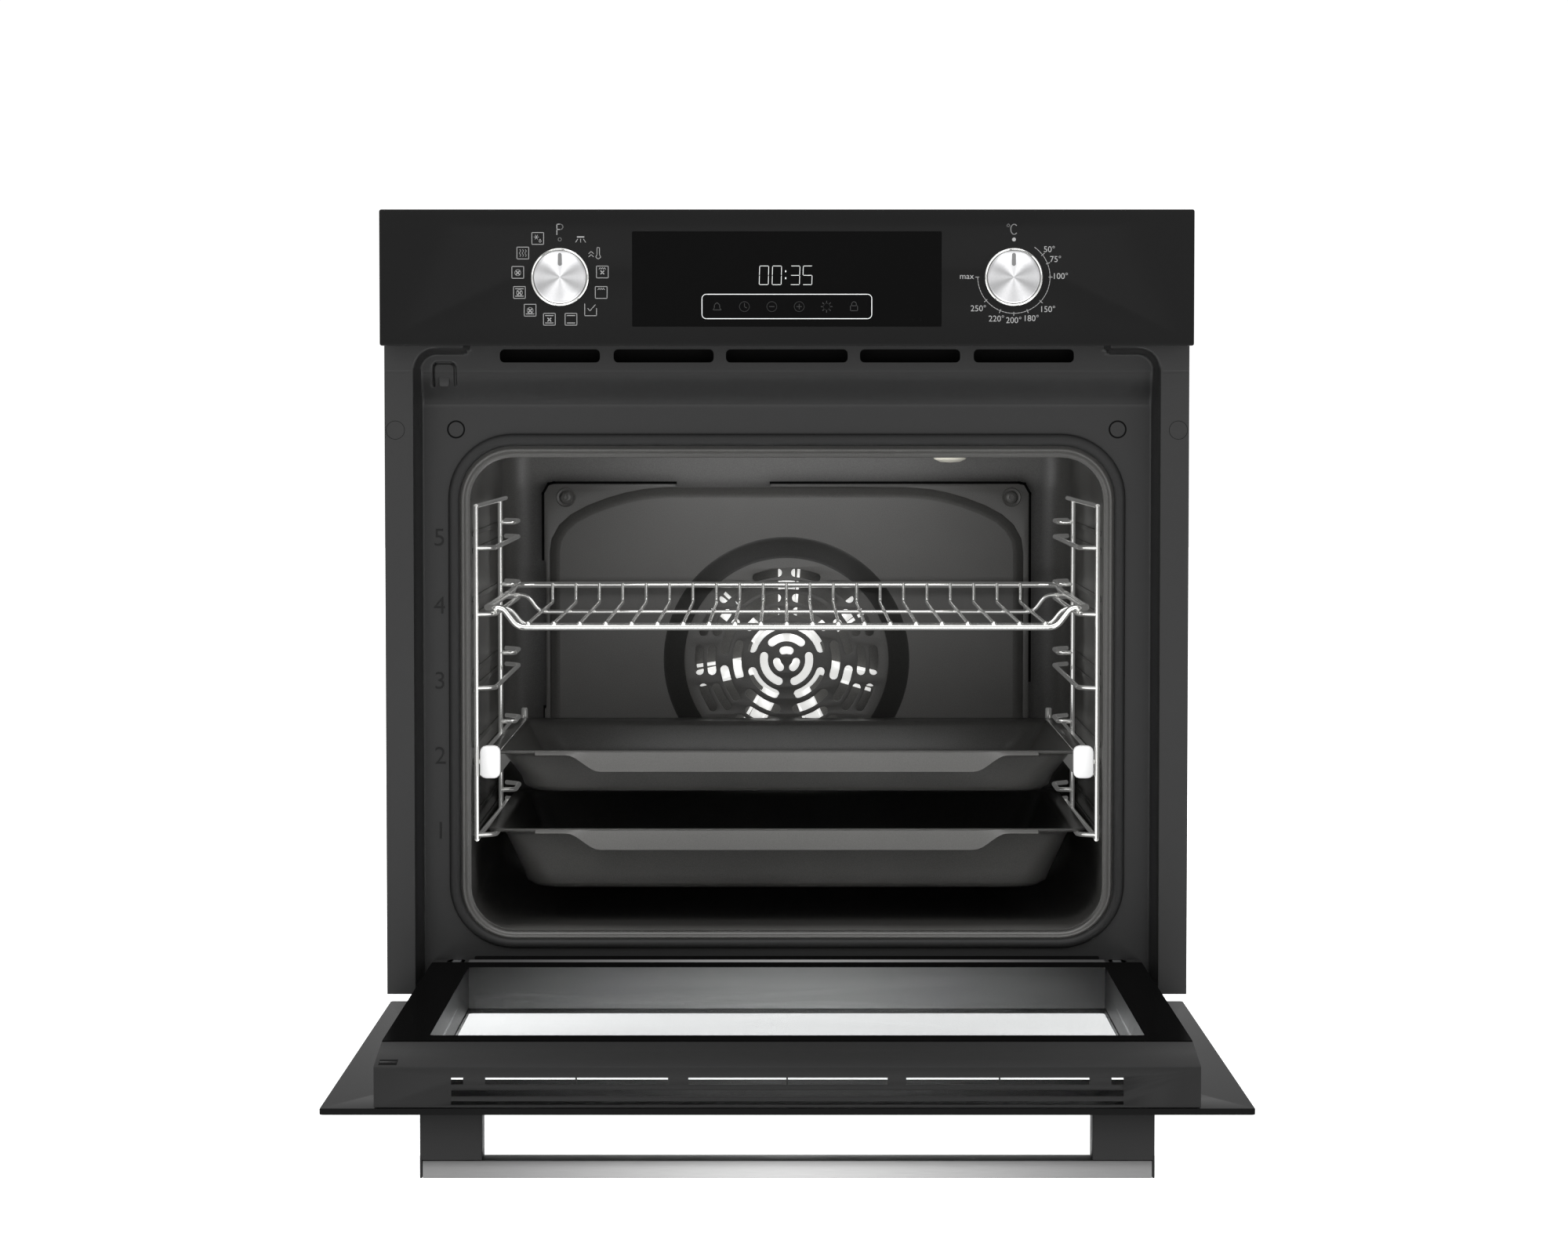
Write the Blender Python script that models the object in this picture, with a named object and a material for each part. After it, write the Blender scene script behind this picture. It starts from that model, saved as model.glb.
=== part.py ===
"""Built-in wall oven with its drop-down door open.

Metres, +X right, +Y towards the back, +Z up. The origin is the centre of the base pan's underside.
Every piece is laid out in oven coordinates, whose y starts at the control panel's front face,
and hangs on the empty "oven", which moves them into the frame above.
"""

from math import cos, pi, radians, sin, sqrt

import bmesh
import bpy
from mathutils import Matrix, Vector

for leftover in list(bpy.data.objects):
    bpy.data.objects.remove(leftover)

# ---- shared clearances and sheet thicknesses ----
GAP = 0.0003              # between pieces that touch
SHEET = 0.0012            # housing sheet steel
CAVITY_SHEET = 0.0010     # enamelled cavity steel
LIP_ROLL = 0.0035         # rolled edge round the cavity mouth
ROUND = 24                # sides of a turned piece
CORNER_STEPS = 5          # steps round a quarter corner

# ---- widths, from the outside in ----
FRONT_WIDTH = 0.595       # door glass and control panel
FLANGE_INSET = 0.0016     # frame flange inside the glass edge
FLANGE_WIDTH = 0.0209     # flange that rests on the cabinet side
RECESS_SLOPE = 0.005      # sideways run of the recess wall
DOOR_SIDE_GAP = 0.0071    # door body to recess wall
MOUTH_SIDE_BAND = 0.0347  # recess wall to cavity mouth
MOUTH_LIP = 0.004         # cavity wall outside the mouth
TRAY_MOUTH_GAP = 0.009    # tray rim to mouth, each side

flange_half = FRONT_WIDTH / 2 - FLANGE_INSET
recess_half_front = flange_half - FLANGE_WIDTH
recess_half = recess_half_front - RECESS_SLOPE
housing_half = recess_half_front + SHEET + 0.0018
inside_half = housing_half - SHEET - GAP
door_half = recess_half - DOOR_SIDE_GAP
mouth_half = recess_half - MOUTH_SIDE_BAND
cavity_half = mouth_half + MOUTH_LIP
tray_half = mouth_half - TRAY_MOUTH_GAP

# ---- heights, from the base up ----
FRAME_BOTTOM = 0.0166
MOUTH_BOTTOM = 0.0612
FLOOR_DROP = 0.0055       # cavity floor below the mouth
LEVEL_1_RISE = 0.0703     # first rack level above the mouth's bottom
LEVEL_PITCH = 0.0555
TOP_LEVEL_PITCH = 0.050
LEVEL_5_HEADROOM = 0.0655  # fifth level to the mouth's top
CEILING_RISE = 0.018      # cavity ceiling above the mouth
DOOR_ABOVE_MOUTH = 0.0782
PANEL_GAP = 0.004         # door glass to control panel
PANEL_HEIGHT = 0.0993
HOUSING_BELOW_TOP = 0.005

level = [MOUTH_BOTTOM + LEVEL_1_RISE + LEVEL_PITCH * n for n in range(4)]
level.append(level[3] + TOP_LEVEL_PITCH)
mouth_top = level[4] + LEVEL_5_HEADROOM
floor_z = MOUTH_BOTTOM - FLOOR_DROP
ceiling_z = mouth_top + CEILING_RISE
door_height = mouth_top + DOOR_ABOVE_MOUTH
panel_bottom = door_height + PANEL_GAP
panel_top = panel_bottom + PANEL_HEIGHT
housing_top = panel_top - HOUSING_BELOW_TOP
strip_bottom = door_height - 0.0147   # upper strip of the frame, above the slanted band
band_bottom = strip_bottom - 0.025

# ---- depths, from the control panel's front face back ----
GLASS_THICKNESS = 0.004
FLANGE_SETBACK = 0.018
STRIP_SETBACK = 0.031
FACE_SETBACK = 0.045
SIDE_PANEL_SETBACK = 0.032  # side panels begin behind the frame's own side walls
CAVITY_DEPTH = 0.4273     # liner flange to cavity back
RACK_FRONT_SETBACK = 0.028  # rack wire behind the liner flange
TRAY_FRONT_SETBACK = 0.0385
TRAY_BACK_GAP = 0.041     # tray rim to cavity back
FAN_COVER_STANDOFF = 0.026
DOME_HEIGHT = 0.010
MOTOR_SPACE = 0.0755      # cavity back to rear cover
BASE_SETBACK = 0.075

liner_front = FACE_SETBACK + SHEET + GAP
cavity_back_y = liner_front + CAVITY_DEPTH
rear_y = cavity_back_y + MOTOR_SPACE
rack_front = liner_front + RACK_FRONT_SETBACK
tray_front = liner_front + TRAY_FRONT_SETBACK
tray_back = cavity_back_y - TRAY_BACK_GAP
cover_y = cavity_back_y - FAN_COVER_STANDOFF
base_centre_y = (BASE_SETBACK + rear_y) / 2

# ---- door ----
DOOR_THICKNESS = 0.0388
PIVOT_INSET = 0.0078      # pivot in front of the door's inner face
PIVOT_Z = 0.0322
HINGE_X_IN = 0.0170       # hinge arm centre, inside the door's edge
ARM_THICKNESS = 0.006
PIN_RADIUS = 0.003
PIN_CLEARANCE = 0.0003
OPEN_ANGLE = pi / 2
INNER_GLASS = 0.0038
MIDDLE_GLASS_DROP = 0.038  # middle glass below the inner one's top
DOOR_FOOT = 0.042         # bottom of the inner glass
PROFILE_HEIGHT = 0.0569   # top profile
PROFILE_TOP_GAP = 0.0015
SIDE_POST_WIDTH = 0.0266
PIVOT_Y = DOOR_THICKNESS - PIVOT_INSET

# ---- handle ----
HANDLE_WIDTH = 0.470
HANDLE_TOP_DROP = 0.0165
HANDLE_FACE = 0.022
HANDLE_BAR = 0.0115
HANDLE_STANDOFF = 0.032
POST_WIDTH = 0.040
END_CAP = 0.0014

# ---- control panel ----
KNOB_SPACING = 0.3314
KNOB_RISE = 0.050         # knob centre above the panel's bottom
KNOB_RADIUS = 0.0192
KNOB_LENGTH = 0.030
KNOB_PROUD = 0.0005
KNOB_PLAY = 0.0004        # knob to bezel, all round
BEZEL_WALL = 0.0014
SPINDLE_RADIUS = 0.003
BORE_CLEARANCE = 0.0003
CARRIER_SETBACK = 0.0305
SELECTOR_SIZE = 0.036
SELECTOR_DEPTH = 0.018
DISPLAY_HALF = 0.113

# ---- racks, runners, shelf and trays ----
WIRE = 0.004
RACK_WALL_GAP = 0.0040
RUNG_REACH = 0.0175       # rung's inner run, inside the rack's wires
RACK_LENGTH = 0.312
RACK_UPRIGHT_PITCH = 0.242
RUNNER_WIDTH = 0.0154
RUNNER_HEIGHT = 0.0175
CAP_DEPTH = 0.0055
CAP_OVER = 0.0048
SHALLOW_TRAY_DEPTH = 0.034
DEEP_TRAY_DEPTH = 0.0485
TRAY_RIM = 0.0125
TRAY_SHEET = 0.0012
TRAY_TAPER = 0.0085
SHELF_DROP = 0.0155
SHELF_RUN_INSET = 0.016
CROSS_WIRES = 22

# ---- fans and heaters ----
FAN_RADIUS = 0.078
FAN_HUB = 0.018
FAN_BLADES = 7
FAN_WIDTH = 0.016
FAN_SHAFT = 0.004
FAN_HEIGHT = 0.1787       # fan centre above the mouth's bottom
DOME_RADIUS = 0.101
GRILLE_RADIUS = 0.086
HEATER_RADIUS = 0.0033
RING_HEATER_RADIUS = 0.093
BLOWER_RADIUS = 0.021
BLOWER_LENGTH = 0.200
BLOWER_VANES = 12
DECK_ABOVE_DOOR = 0.0045

deck_z = door_height + DECK_ABOVE_DOOR
fan_z = MOUTH_BOTTOM + FAN_HEIGHT
knob_z = panel_bottom + KNOB_RISE
bezel_bore = KNOB_RADIUS + KNOB_PLAY
bezel_radius = bezel_bore + BEZEL_WALL
rack_half = cavity_half - RACK_WALL_GAP


# ---- helpers ----
def add_empty(name, location, rotation=(0, 0, 0), parent=None):
    empty = bpy.data.objects.new(name, None)
    bpy.context.collection.objects.link(empty)
    empty.location = location
    empty.rotation_euler = rotation
    empty.parent = parent
    return empty


OVEN = add_empty("oven", (0, -base_centre_y, 0))
PIVOT = Vector((0, PIVOT_Y, PIVOT_Z))
# Door pieces are laid out as on a closed door; this empty swings them down.
DOOR = add_empty("door_hinge_axis", PIVOT, (OPEN_ANGLE, 0, 0), OVEN)


def material(name, colour, roughness, metallic=0.0):
    found = bpy.data.materials.get(name)
    if found:
        return found
    made = bpy.data.materials.new(name)
    made.use_nodes = True
    shader = made.node_tree.nodes["Principled BSDF"]
    shader.inputs["Base Color"].default_value = (*colour, 1)
    shader.inputs["Roughness"].default_value = roughness
    shader.inputs["Metallic"].default_value = metallic
    return made


BLACK_ENAMEL = material("black_enamel", (0.035, 0.035, 0.037), 0.35)
GREY_ENAMEL = material("grey_enamel", (0.07, 0.07, 0.072), 0.4)
ZINC = material("zinc_steel", (0.55, 0.56, 0.57), 0.45, 1.0)
CHROME = material("chrome_wire", (0.85, 0.84, 0.80), 0.12, 1.0)
BRUSHED = material("brushed_steel", (0.6, 0.6, 0.6), 0.3, 1.0)
BLACK_GLASS = material("black_glass", (0.012, 0.012, 0.013), 0.06)
CLEAR_GLASS = material("clear_glass", (0.6, 0.62, 0.62), 0.03)
BLACK_PLASTIC = material("black_plastic", (0.02, 0.02, 0.021), 0.4)
WHITE_CERAMIC = material("white_ceramic", (0.75, 0.74, 0.70), 0.5)
RUBBER = material("gasket_rubber", (0.02, 0.02, 0.02), 0.7)
WOOL = material("mineral_wool", (0.62, 0.58, 0.45), 0.95)
BOARD = material("circuit_board", (0.05, 0.22, 0.10), 0.5)


def add_piece(name, shape, finish, origin=(0, 0, 0), parent=OVEN, smooth=False):
    """A named piece from a bmesh in oven coordinates, with its origin at the given point."""
    mesh = bpy.data.meshes.new(name)
    bmesh.ops.remove_doubles(shape, verts=shape.verts, dist=1e-6)
    bmesh.ops.recalc_face_normals(shape, faces=shape.faces)
    shape.transform(Matrix.Translation(-Vector(origin)))
    shape.to_mesh(mesh)
    shape.free()
    piece = bpy.data.objects.new(name, mesh)
    bpy.context.collection.objects.link(piece)
    piece.parent = parent
    piece.location = (0, 0, 0) if parent is DOOR else origin
    mesh.materials.append(finish)
    if smooth:
        mesh.shade_smooth()
        mesh.set_sharp_from_angle(angle=radians(40))
    return piece


def add_door_piece(name, shape, finish, smooth=False):
    return add_piece(name, shape, finish, PIVOT, DOOR, smooth)


def join_by(piece, shape, operation, origin=(0, 0, 0)):
    """Cuts a shape out of a piece, or unites it with the piece."""
    tool = add_piece(piece.name + "_tool", shape, piece.data.materials[0], origin, piece.parent)
    tool.hide_render = True
    tool.display_type = "WIRE"
    change = piece.modifiers.new(operation.lower(), "BOOLEAN")
    change.operation = operation
    change.solver = "EXACT"
    change.object = tool


def cut(piece, shape, origin=(0, 0, 0)):
    join_by(piece, shape, "DIFFERENCE", origin)


def unite(piece, shape, origin=(0, 0, 0)):
    join_by(piece, shape, "UNION", origin)


def box_shape(x, y, z):
    shape = bmesh.new()
    add_box(shape, x, y, z)
    return shape


def add_box(shape, x, y, z):
    corners = [shape.verts.new((a, b, c)) for c in z for b in y for a in x]
    for face in ((0, 1, 3, 2), (4, 6, 7, 5), (0, 4, 5, 1), (2, 3, 7, 6), (0, 2, 6, 4), (1, 5, 7, 3)):
        shape.faces.new([corners[n] for n in face])


def prism_shape(outline, along, low, high):
    """An outline of (a, b) points pushed along one axis: x takes (y, z), y takes (x, z), z takes (x, y)."""
    place = {"x": lambda a, b, t: (t, a, b), "y": lambda a, b, t: (a, t, b), "z": lambda a, b, t: (a, b, t)}[along]
    shape = bmesh.new()
    near, far = ([shape.verts.new(place(a, b, t)) for a, b in outline] for t in (low, high))
    for n in range(len(outline)):
        m = (n + 1) % len(outline)
        shape.faces.new((near[n], near[m], far[m], far[n]))
    shape.faces.new(near)
    shape.faces.new(far)
    return shape


def loft_shape(loops, closed=False):
    """Loops of equal length joined in order; closed joins the last to the first, else both ends are capped."""
    shape = bmesh.new()
    rows = [[shape.verts.new(point) for point in loop] for loop in loops]
    pairs = list(zip(rows, rows[1:]))
    if closed:
        pairs.append((rows[-1], rows[0]))
    else:
        shape.faces.new(rows[0])
        shape.faces.new(rows[-1])
    for near, far in pairs:
        for n in range(len(near)):
            m = (n + 1) % len(near)
            shape.faces.new((near[n], near[m], far[m], far[n]))
    return shape


def rounded_outline(a, b, radius, steps=CORNER_STEPS):
    """A rounded rectangle over the spans a and b, anticlockwise."""
    corners = ((a[1], b[1], 0), (a[0], b[1], 1), (a[0], b[0], 2), (a[1], b[0], 3))
    points = []
    for edge_a, edge_b, quarter in corners:
        centre_a = edge_a - radius * (1 if quarter in (0, 3) else -1)
        centre_b = edge_b - radius * (1 if quarter in (0, 1) else -1)
        for step in range(steps + 1):
            turn = pi / 2 * (quarter + step / steps)
            points.append((centre_a + radius * cos(turn), centre_b + radius * sin(turn)))
    return points


def upright_loop(y, x, z, radius):
    return [(a, y, b) for a, b in rounded_outline(x, z, radius)]


def level_loop(z, x, y, radius):
    return [(a, b, z) for a, b in rounded_outline(x, y, radius)]


def circle_outline(centre, radius, sides=ROUND):
    step = 2 * pi / sides
    return [(centre[0] + radius * cos(n * step), centre[1] + radius * sin(n * step)) for n in range(sides)]


def turned_shape(profile, centre, along="y", closed=False, sides=ROUND):
    """A profile of (radius, distance) points turned about an axis through the centre."""
    place = {"x": lambda a, b, t: (t, a, b), "y": lambda a, b, t: (a, t, b), "z": lambda a, b, t: (a, b, t)}[along]
    loops = [[place(a, b, t) for a, b in circle_outline(centre, radius, sides)] for radius, t in profile]
    return loft_shape(loops, closed)


def cell_shape(xs, ys, zs, filled):
    """The outside of the filled cells of a grid of planes; filled gets each cell's middle."""
    def middle(values):
        return [(low + high) / 2 for low, high in zip(values, values[1:])]

    shape = bmesh.new()
    corners = {}

    def corner(i, j, k):
        if (i, j, k) not in corners:
            corners[i, j, k] = shape.verts.new((xs[i], ys[j], zs[k]))
        return corners[i, j, k]

    solid = {
        (i, j, k)
        for i, x in enumerate(middle(xs))
        for j, y in enumerate(middle(ys))
        for k, z in enumerate(middle(zs))
        if filled(x, y, z)
    }
    sides = {
        (1, 0, 0): ((1, 0, 0), (1, 1, 0), (1, 1, 1), (1, 0, 1)),
        (-1, 0, 0): ((0, 0, 0), (0, 0, 1), (0, 1, 1), (0, 1, 0)),
        (0, 1, 0): ((0, 1, 0), (0, 1, 1), (1, 1, 1), (1, 1, 0)),
        (0, -1, 0): ((0, 0, 0), (1, 0, 0), (1, 0, 1), (0, 0, 1)),
        (0, 0, 1): ((0, 0, 1), (1, 0, 1), (1, 1, 1), (0, 1, 1)),
        (0, 0, -1): ((0, 0, 0), (0, 1, 0), (1, 1, 0), (1, 0, 0)),
    }
    for i, j, k in sorted(solid):
        for (di, dj, dk), face in sides.items():
            if (i + di, j + dj, k + dk) not in solid:
                shape.faces.new([corner(i + a, j + b, k + c) for a, b, c in face])
    bmesh.ops.dissolve_limit(shape, angle_limit=radians(1), verts=shape.verts, edges=shape.edges)
    return shape


def tube_shape(route, radius, sides=8):
    """A capped tube along a route, mitred at its corners."""
    points = [Vector(point) for point in route]
    across = None
    loops = []
    for n, point in enumerate(points):
        before = (point - points[n - 1]).normalized() if n else None
        after = (points[n + 1] - point).normalized() if n + 1 < len(points) else None
        along = ((before or after) + (after or before)).normalized()
        if across is None:
            across = along.orthogonal().normalized()
        across = (across - along * across.dot(along)).normalized()
        other = along.cross(across)
        loops.append([
            point + radius * (across * cos(2 * pi * s / sides) + other * sin(2 * pi * s / sides))
            for s in range(sides)
        ])
    return loft_shape(loops)


def rounded_route(corners, radius, steps=4):
    """The corner points of a route, with each inner corner rounded."""
    points = [Vector(corners[0])]
    for before, corner, after in zip(corners, corners[1:], corners[2:]):
        corner = Vector(corner)
        inward = (Vector(before) - corner).normalized()
        outward = (Vector(after) - corner).normalized()
        start, end = corner + inward * radius, corner + outward * radius
        for step in range(steps + 1):
            t = step / steps
            points.append(start * (1 - t) ** 2 + corner * 2 * t * (1 - t) + end * t ** 2)
    points.append(Vector(corners[-1]))
    return points


def mirrored(side, low, high):
    """A span of x on the left (side -1) or the right (side 1)."""
    return (low, high) if side > 0 else (-high, -low)


SIDES = (("left", -1), ("right", 1))


# ---- housing ----
def add_front_frame():
    def setback(x, z):
        if abs(x) > recess_half + GAP:
            return FLANGE_SETBACK
        return FACE_SETBACK if z < strip_bottom - GAP else STRIP_SETBACK

    xs = (-flange_half, -recess_half_front, -recess_half, recess_half, recess_half_front, flange_half)
    zs = (FRAME_BOTTOM, band_bottom, strip_bottom, door_height + PANEL_GAP / 2)
    shape = bmesh.new()
    grid = [[shape.verts.new((x, setback(x, z), z)) for x in xs] for z in zs]
    for low, high in zip(grid, grid[1:]):
        for n in range(len(xs) - 1):
            shape.faces.new((low[n], low[n + 1], high[n + 1], high[n]))
    back = {vert: shape.verts.new((vert.co.x, vert.co.y + SHEET, vert.co.z)) for vert in list(shape.verts)}
    for vert, twin in back.items():
        outward = 1 if vert.co.x > 0 else -1
        if abs(abs(vert.co.x) - recess_half) < GAP:
            twin.co.x += SHEET * outward
        elif abs(abs(vert.co.x) - recess_half_front) < GAP:
            twin.co.x = (housing_half + GAP) * outward
    faces = list(shape.faces)
    for face in faces:
        shape.faces.new([back[vert] for vert in reversed(face.verts)])
    for edge in [edge for edge in shape.edges if len(edge.link_faces) == 1 and edge.verts[0] in back]:
        one, two = edge.verts
        shape.faces.new((one, two, back[two], back[one]))
    frame = add_piece("front_frame", shape, BLACK_ENAMEL)
    front, behind = STRIP_SETBACK - 0.01, liner_front + 0.01
    mouth = rounded_outline((-mouth_half - 0.001, mouth_half + 0.001), (MOUTH_BOTTOM - 0.001, mouth_top + 0.001), 0.032)
    cut(frame, prism_shape(mouth, "y", front, behind))
    slots = bmesh.new()
    for centre, half in ((0, 0.045), (-0.091, 0.037), (0.091, 0.037), (-0.175, 0.037), (0.175, 0.037)):
        add_box(slots, (centre - half, centre + half), (front, behind), (door_height - 0.008, door_height + 0.001))
    arm_x = door_half - HINGE_X_IN
    for _, side in SIDES:
        add_box(slots, mirrored(side, arm_x - 0.013, arm_x + 0.013), (front, behind), (0.0204, 0.0414))
    cut(frame, slots)


def add_cavity():
    across = (-mouth_half, mouth_half)
    upright = (MOUTH_BOTTOM, mouth_top)
    wall = (-cavity_half, cavity_half)
    wall_z = (floor_z, ceiling_z)

    def grown(span, by):
        return (span[0] - by, span[1] + by)

    lip = liner_front + CAVITY_SHEET
    throat = liner_front + 0.012
    back = cavity_back_y
    flange = 0.014
    liner = (
        upright_loop(liner_front, grown(across, flange), grown(upright, flange), 0.046),
        upright_loop(liner_front, across, upright, 0.032),
        upright_loop(throat, wall, wall_z, 0.026),
        upright_loop(back, wall, wall_z, 0.026),
        upright_loop(back, grown(wall, CAVITY_SHEET), grown(wall_z, CAVITY_SHEET), 0.027),
        upright_loop(throat - 0.0006, grown(wall, CAVITY_SHEET), grown(wall_z, CAVITY_SHEET), 0.027),
        upright_loop(lip, grown(across, LIP_ROLL), grown(upright, LIP_ROLL), 0.032 + LIP_ROLL),
        upright_loop(lip, grown(across, flange), grown(upright, flange), 0.046),
    )
    add_piece("cavity_liner", loft_shape(liner, closed=True), GREY_ENAMEL, smooth=True)
    plate = prism_shape(rounded_outline(wall, wall_z, 0.026), "y", back + GAP, back + GAP + CAVITY_SHEET)
    cavity_back = add_piece("cavity_back", plate, GREY_ENAMEL)
    cut(cavity_back, turned_shape(((0.008, back - 0.01), (0.008, back + 0.01)), (0, fan_z)))
    front = FACE_SETBACK - GAP
    lip_front = DOOR_THICKNESS + 2 * GAP
    seal = [
        upright_loop(y, grown(across, by), grown(upright, by), 0.030 + by)
        for y, by in (
            (front, 0.002), (front, 0.015), ((front + lip_front) / 2, 0.0162), (lip_front, 0.013),
            (lip_front, 0.006), ((front + lip_front) / 2, 0.0025),
        )
    ]
    add_piece("door_gasket", loft_shape(seal, closed=True), RUBBER, smooth=True)


def add_fan_cover():
    half, bottom, top = 0.203, MOUTH_BOTTOM + 0.009, mouth_top - 0.0265
    centre = (0, fan_z)
    plate = rounded_outline((-half, half), (bottom, top), 0.008)
    sheet = prism_shape(plate, "y", cover_y, cover_y + CAVITY_SHEET)
    cover = add_piece("fan_cover", sheet, GREY_ENAMEL, smooth=True)
    cut(cover, turned_shape(((DOME_RADIUS - 0.002, cover_y - 0.01), (DOME_RADIUS - 0.002, cover_y + 0.01)), centre))
    face = cover_y - DOME_HEIGHT
    dome = (
        (DOME_RADIUS, cover_y), (GRILLE_RADIUS, face), (0.012, face), (0.012, face + CAVITY_SHEET),
        (GRILLE_RADIUS, face + CAVITY_SHEET), (DOME_RADIUS, cover_y + CAVITY_SHEET),
    )
    unite(cover, turned_shape(dome, centre, closed=True))
    windows = bmesh.new()
    count, spread, inner, outer = 8, radians(32), 0.026, 0.076
    for n in range(count):
        middle = 2 * pi * n / count
        arc = [middle - spread / 2 + spread * s / 3 for s in range(4)]
        outline = [(inner * cos(a), fan_z + inner * sin(a)) for a in arc]
        outline += [(outer * cos(a), fan_z + outer * sin(a)) for a in reversed(arc)]
        near, far = ([windows.verts.new((a, y, b)) for a, b in outline] for y in (face - 0.003, face + 0.004))
        for m in range(len(outline)):
            k = (m + 1) % len(outline)
            windows.faces.new((near[m], near[k], far[k], far[m]))
        windows.faces.new(near)
        windows.faces.new(far)
    cut(cover, windows)


def add_casing():
    for name, side in SIDES:
        x = mirrored(side, housing_half - SHEET, housing_half)
        start = SIDE_PANEL_SETBACK
        outline = (
            (start, FRAME_BOTTOM), (BASE_SETBACK, FRAME_BOTTOM), (BASE_SETBACK, 0), (rear_y, 0),
            (rear_y, housing_top), (start, housing_top),
        )
        add_piece("side_panel_" + name, prism_shape(outline, "x", *x), ZINC)
    across = (-inside_half, inside_half)
    shelf_z = FRAME_BOTTOM + 0.0014
    shelf_y = liner_front + SHEET
    pan = (
        (BASE_SETBACK, 0), (rear_y - SHEET - GAP, 0), (rear_y - SHEET - GAP, SHEET), (BASE_SETBACK + SHEET, SHEET),
        (BASE_SETBACK + SHEET, shelf_z + SHEET), (shelf_y, shelf_z + SHEET), (shelf_y, shelf_z),
        (BASE_SETBACK, shelf_z),
    )
    add_piece("base_pan", prism_shape(pan, "x", *across), ZINC)
    top_y = (CARRIER_SETBACK + 0.006, rear_y)
    add_piece("top_cover", box_shape(across, top_y, (housing_top - SHEET, housing_top)), ZINC)
    cover_z = (GAP, housing_top - SHEET - GAP)
    add_piece("rear_cover", box_shape(across, (rear_y - SHEET, rear_y), cover_z), ZINC)
    block_x = (-0.230, -0.170)
    block_z = (housing_top - 0.060, housing_top - 0.025)
    block = (rear_y + GAP, rear_y + 0.016)
    terminal = add_piece("terminal_block", box_shape(block_x, block, block_z), BLACK_PLASTIC)
    gland = (sum(block_x) / 2, block_z[0] + 0.0175)
    cut(terminal, turned_shape(((0.005, block[1] - 0.008), (0.005, block[1] + 0.01)), gland))


def add_insulation():
    inner = cavity_half + CAVITY_SHEET + GAP
    outer = inner + 0.026
    inner_top = ceiling_z + CAVITY_SHEET + GAP
    outer_top = inner_top + 0.024
    bottom = floor_z - 0.012
    arch = (
        (-outer, bottom), (-inner, bottom), (-inner, inner_top), (inner, inner_top), (inner, bottom), (outer, bottom),
        (outer, outer_top), (-outer, outer_top),
    )
    add_piece("insulation", prism_shape(arch, "y", liner_front + 0.014, cavity_back_y - GAP), WOOL)


# ---- heaters, lamp and probe ----
def add_heaters():
    grill_z = ceiling_z - 0.012
    end_y = cavity_back_y - GAP
    back, front = end_y - 0.073, liner_front + 0.064
    outer, inner, feed = cavity_half - 0.049, 0.085, 0.030
    half_route = [(feed, end_y), (feed, back), (outer, back), (outer, front), (inner, front),
                  (inner, back - 0.050), (feed, back - 0.050), (feed, front)]
    corners = [(-x, y, grill_z) for x, y in half_route] + [(x, y, grill_z) for x, y in reversed(half_route)]
    grill = tube_shape(rounded_route(corners, 0.020), HEATER_RADIUS, 6)
    add_piece("grill_element", grill, BRUSHED, smooth=True)
    floor_y = end_y - 0.020
    bottom_z = floor_z - 0.0075
    half_route = [(feed, floor_y), (feed, floor_y - 0.040), (outer, floor_y - 0.040), (outer, front + 0.010),
                  (inner, front + 0.010), (inner, floor_y - 0.110), (feed, floor_y - 0.110), (feed, front + 0.010)]
    corners = [(-x, y, bottom_z) for x, y in half_route] + [(x, y, bottom_z) for x, y in reversed(half_route)]
    bottom = tube_shape(rounded_route(corners, 0.020), HEATER_RADIUS, 6)
    add_piece("bottom_element", bottom, BRUSHED, smooth=True)
    ring_y = cavity_back_y - 0.010
    steps = 28
    sweep = radians(340)
    start = -pi / 2 + radians(10)
    turns = [start + sweep * n / steps for n in range(steps + 1)]
    route = [(RING_HEATER_RADIUS * cos(a), ring_y, fan_z + RING_HEATER_RADIUS * sin(a)) for a in turns]
    ring = tube_shape(route, HEATER_RADIUS, 6)
    add_piece("ring_element", ring, BRUSHED, smooth=True)


def add_lamp():
    centre = (0.1328, cavity_back_y - 0.130)
    top, bottom = ceiling_z - GAP, mouth_top - 0.0073
    cover = (
        (0.0175, top), (0.0175, bottom + 0.006), (0.0125, bottom), (0.0100, bottom + 0.0015),
        (0.0155, bottom + 0.007), (0.0155, top),
    )
    loops = [[(a, b, z) for a, b in circle_outline(centre, radius)] for radius, z in cover]
    shape = bmesh.new()
    rows = [[shape.verts.new(point) for point in loop] for loop in loops]
    order = [0, 1, 2]
    faces = [(rows[a], rows[b]) for a, b in zip(order, order[1:])]
    faces += [(rows[3], rows[4]), (rows[4], rows[5]), (rows[5], rows[0])]
    for near, far in faces:
        for n in range(ROUND):
            m = (n + 1) % ROUND
            shape.faces.new((near[n], near[m], far[m], far[n]))
    shape.faces.new(rows[2])
    shape.faces.new(rows[3])
    add_piece("lamp_cover", shape, CLEAR_GLASS, smooth=True)
    bulb = ((0.010, top), (0.010, top - 0.006), (0.006, top - 0.009), (0.006, top - 0.013), (0.003, top - 0.015))
    add_piece("lamp_bulb", turned_shape(bulb, centre, "z"), WHITE_CERAMIC, smooth=True)


def add_probe():
    centre = (-0.120, ceiling_z - 0.008)
    probe = ((0.0028, cavity_back_y - 0.055), (0.0028, cavity_back_y - GAP))
    add_piece("temperature_probe", turned_shape(probe, centre, sides=12), BRUSHED, smooth=True)


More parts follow.
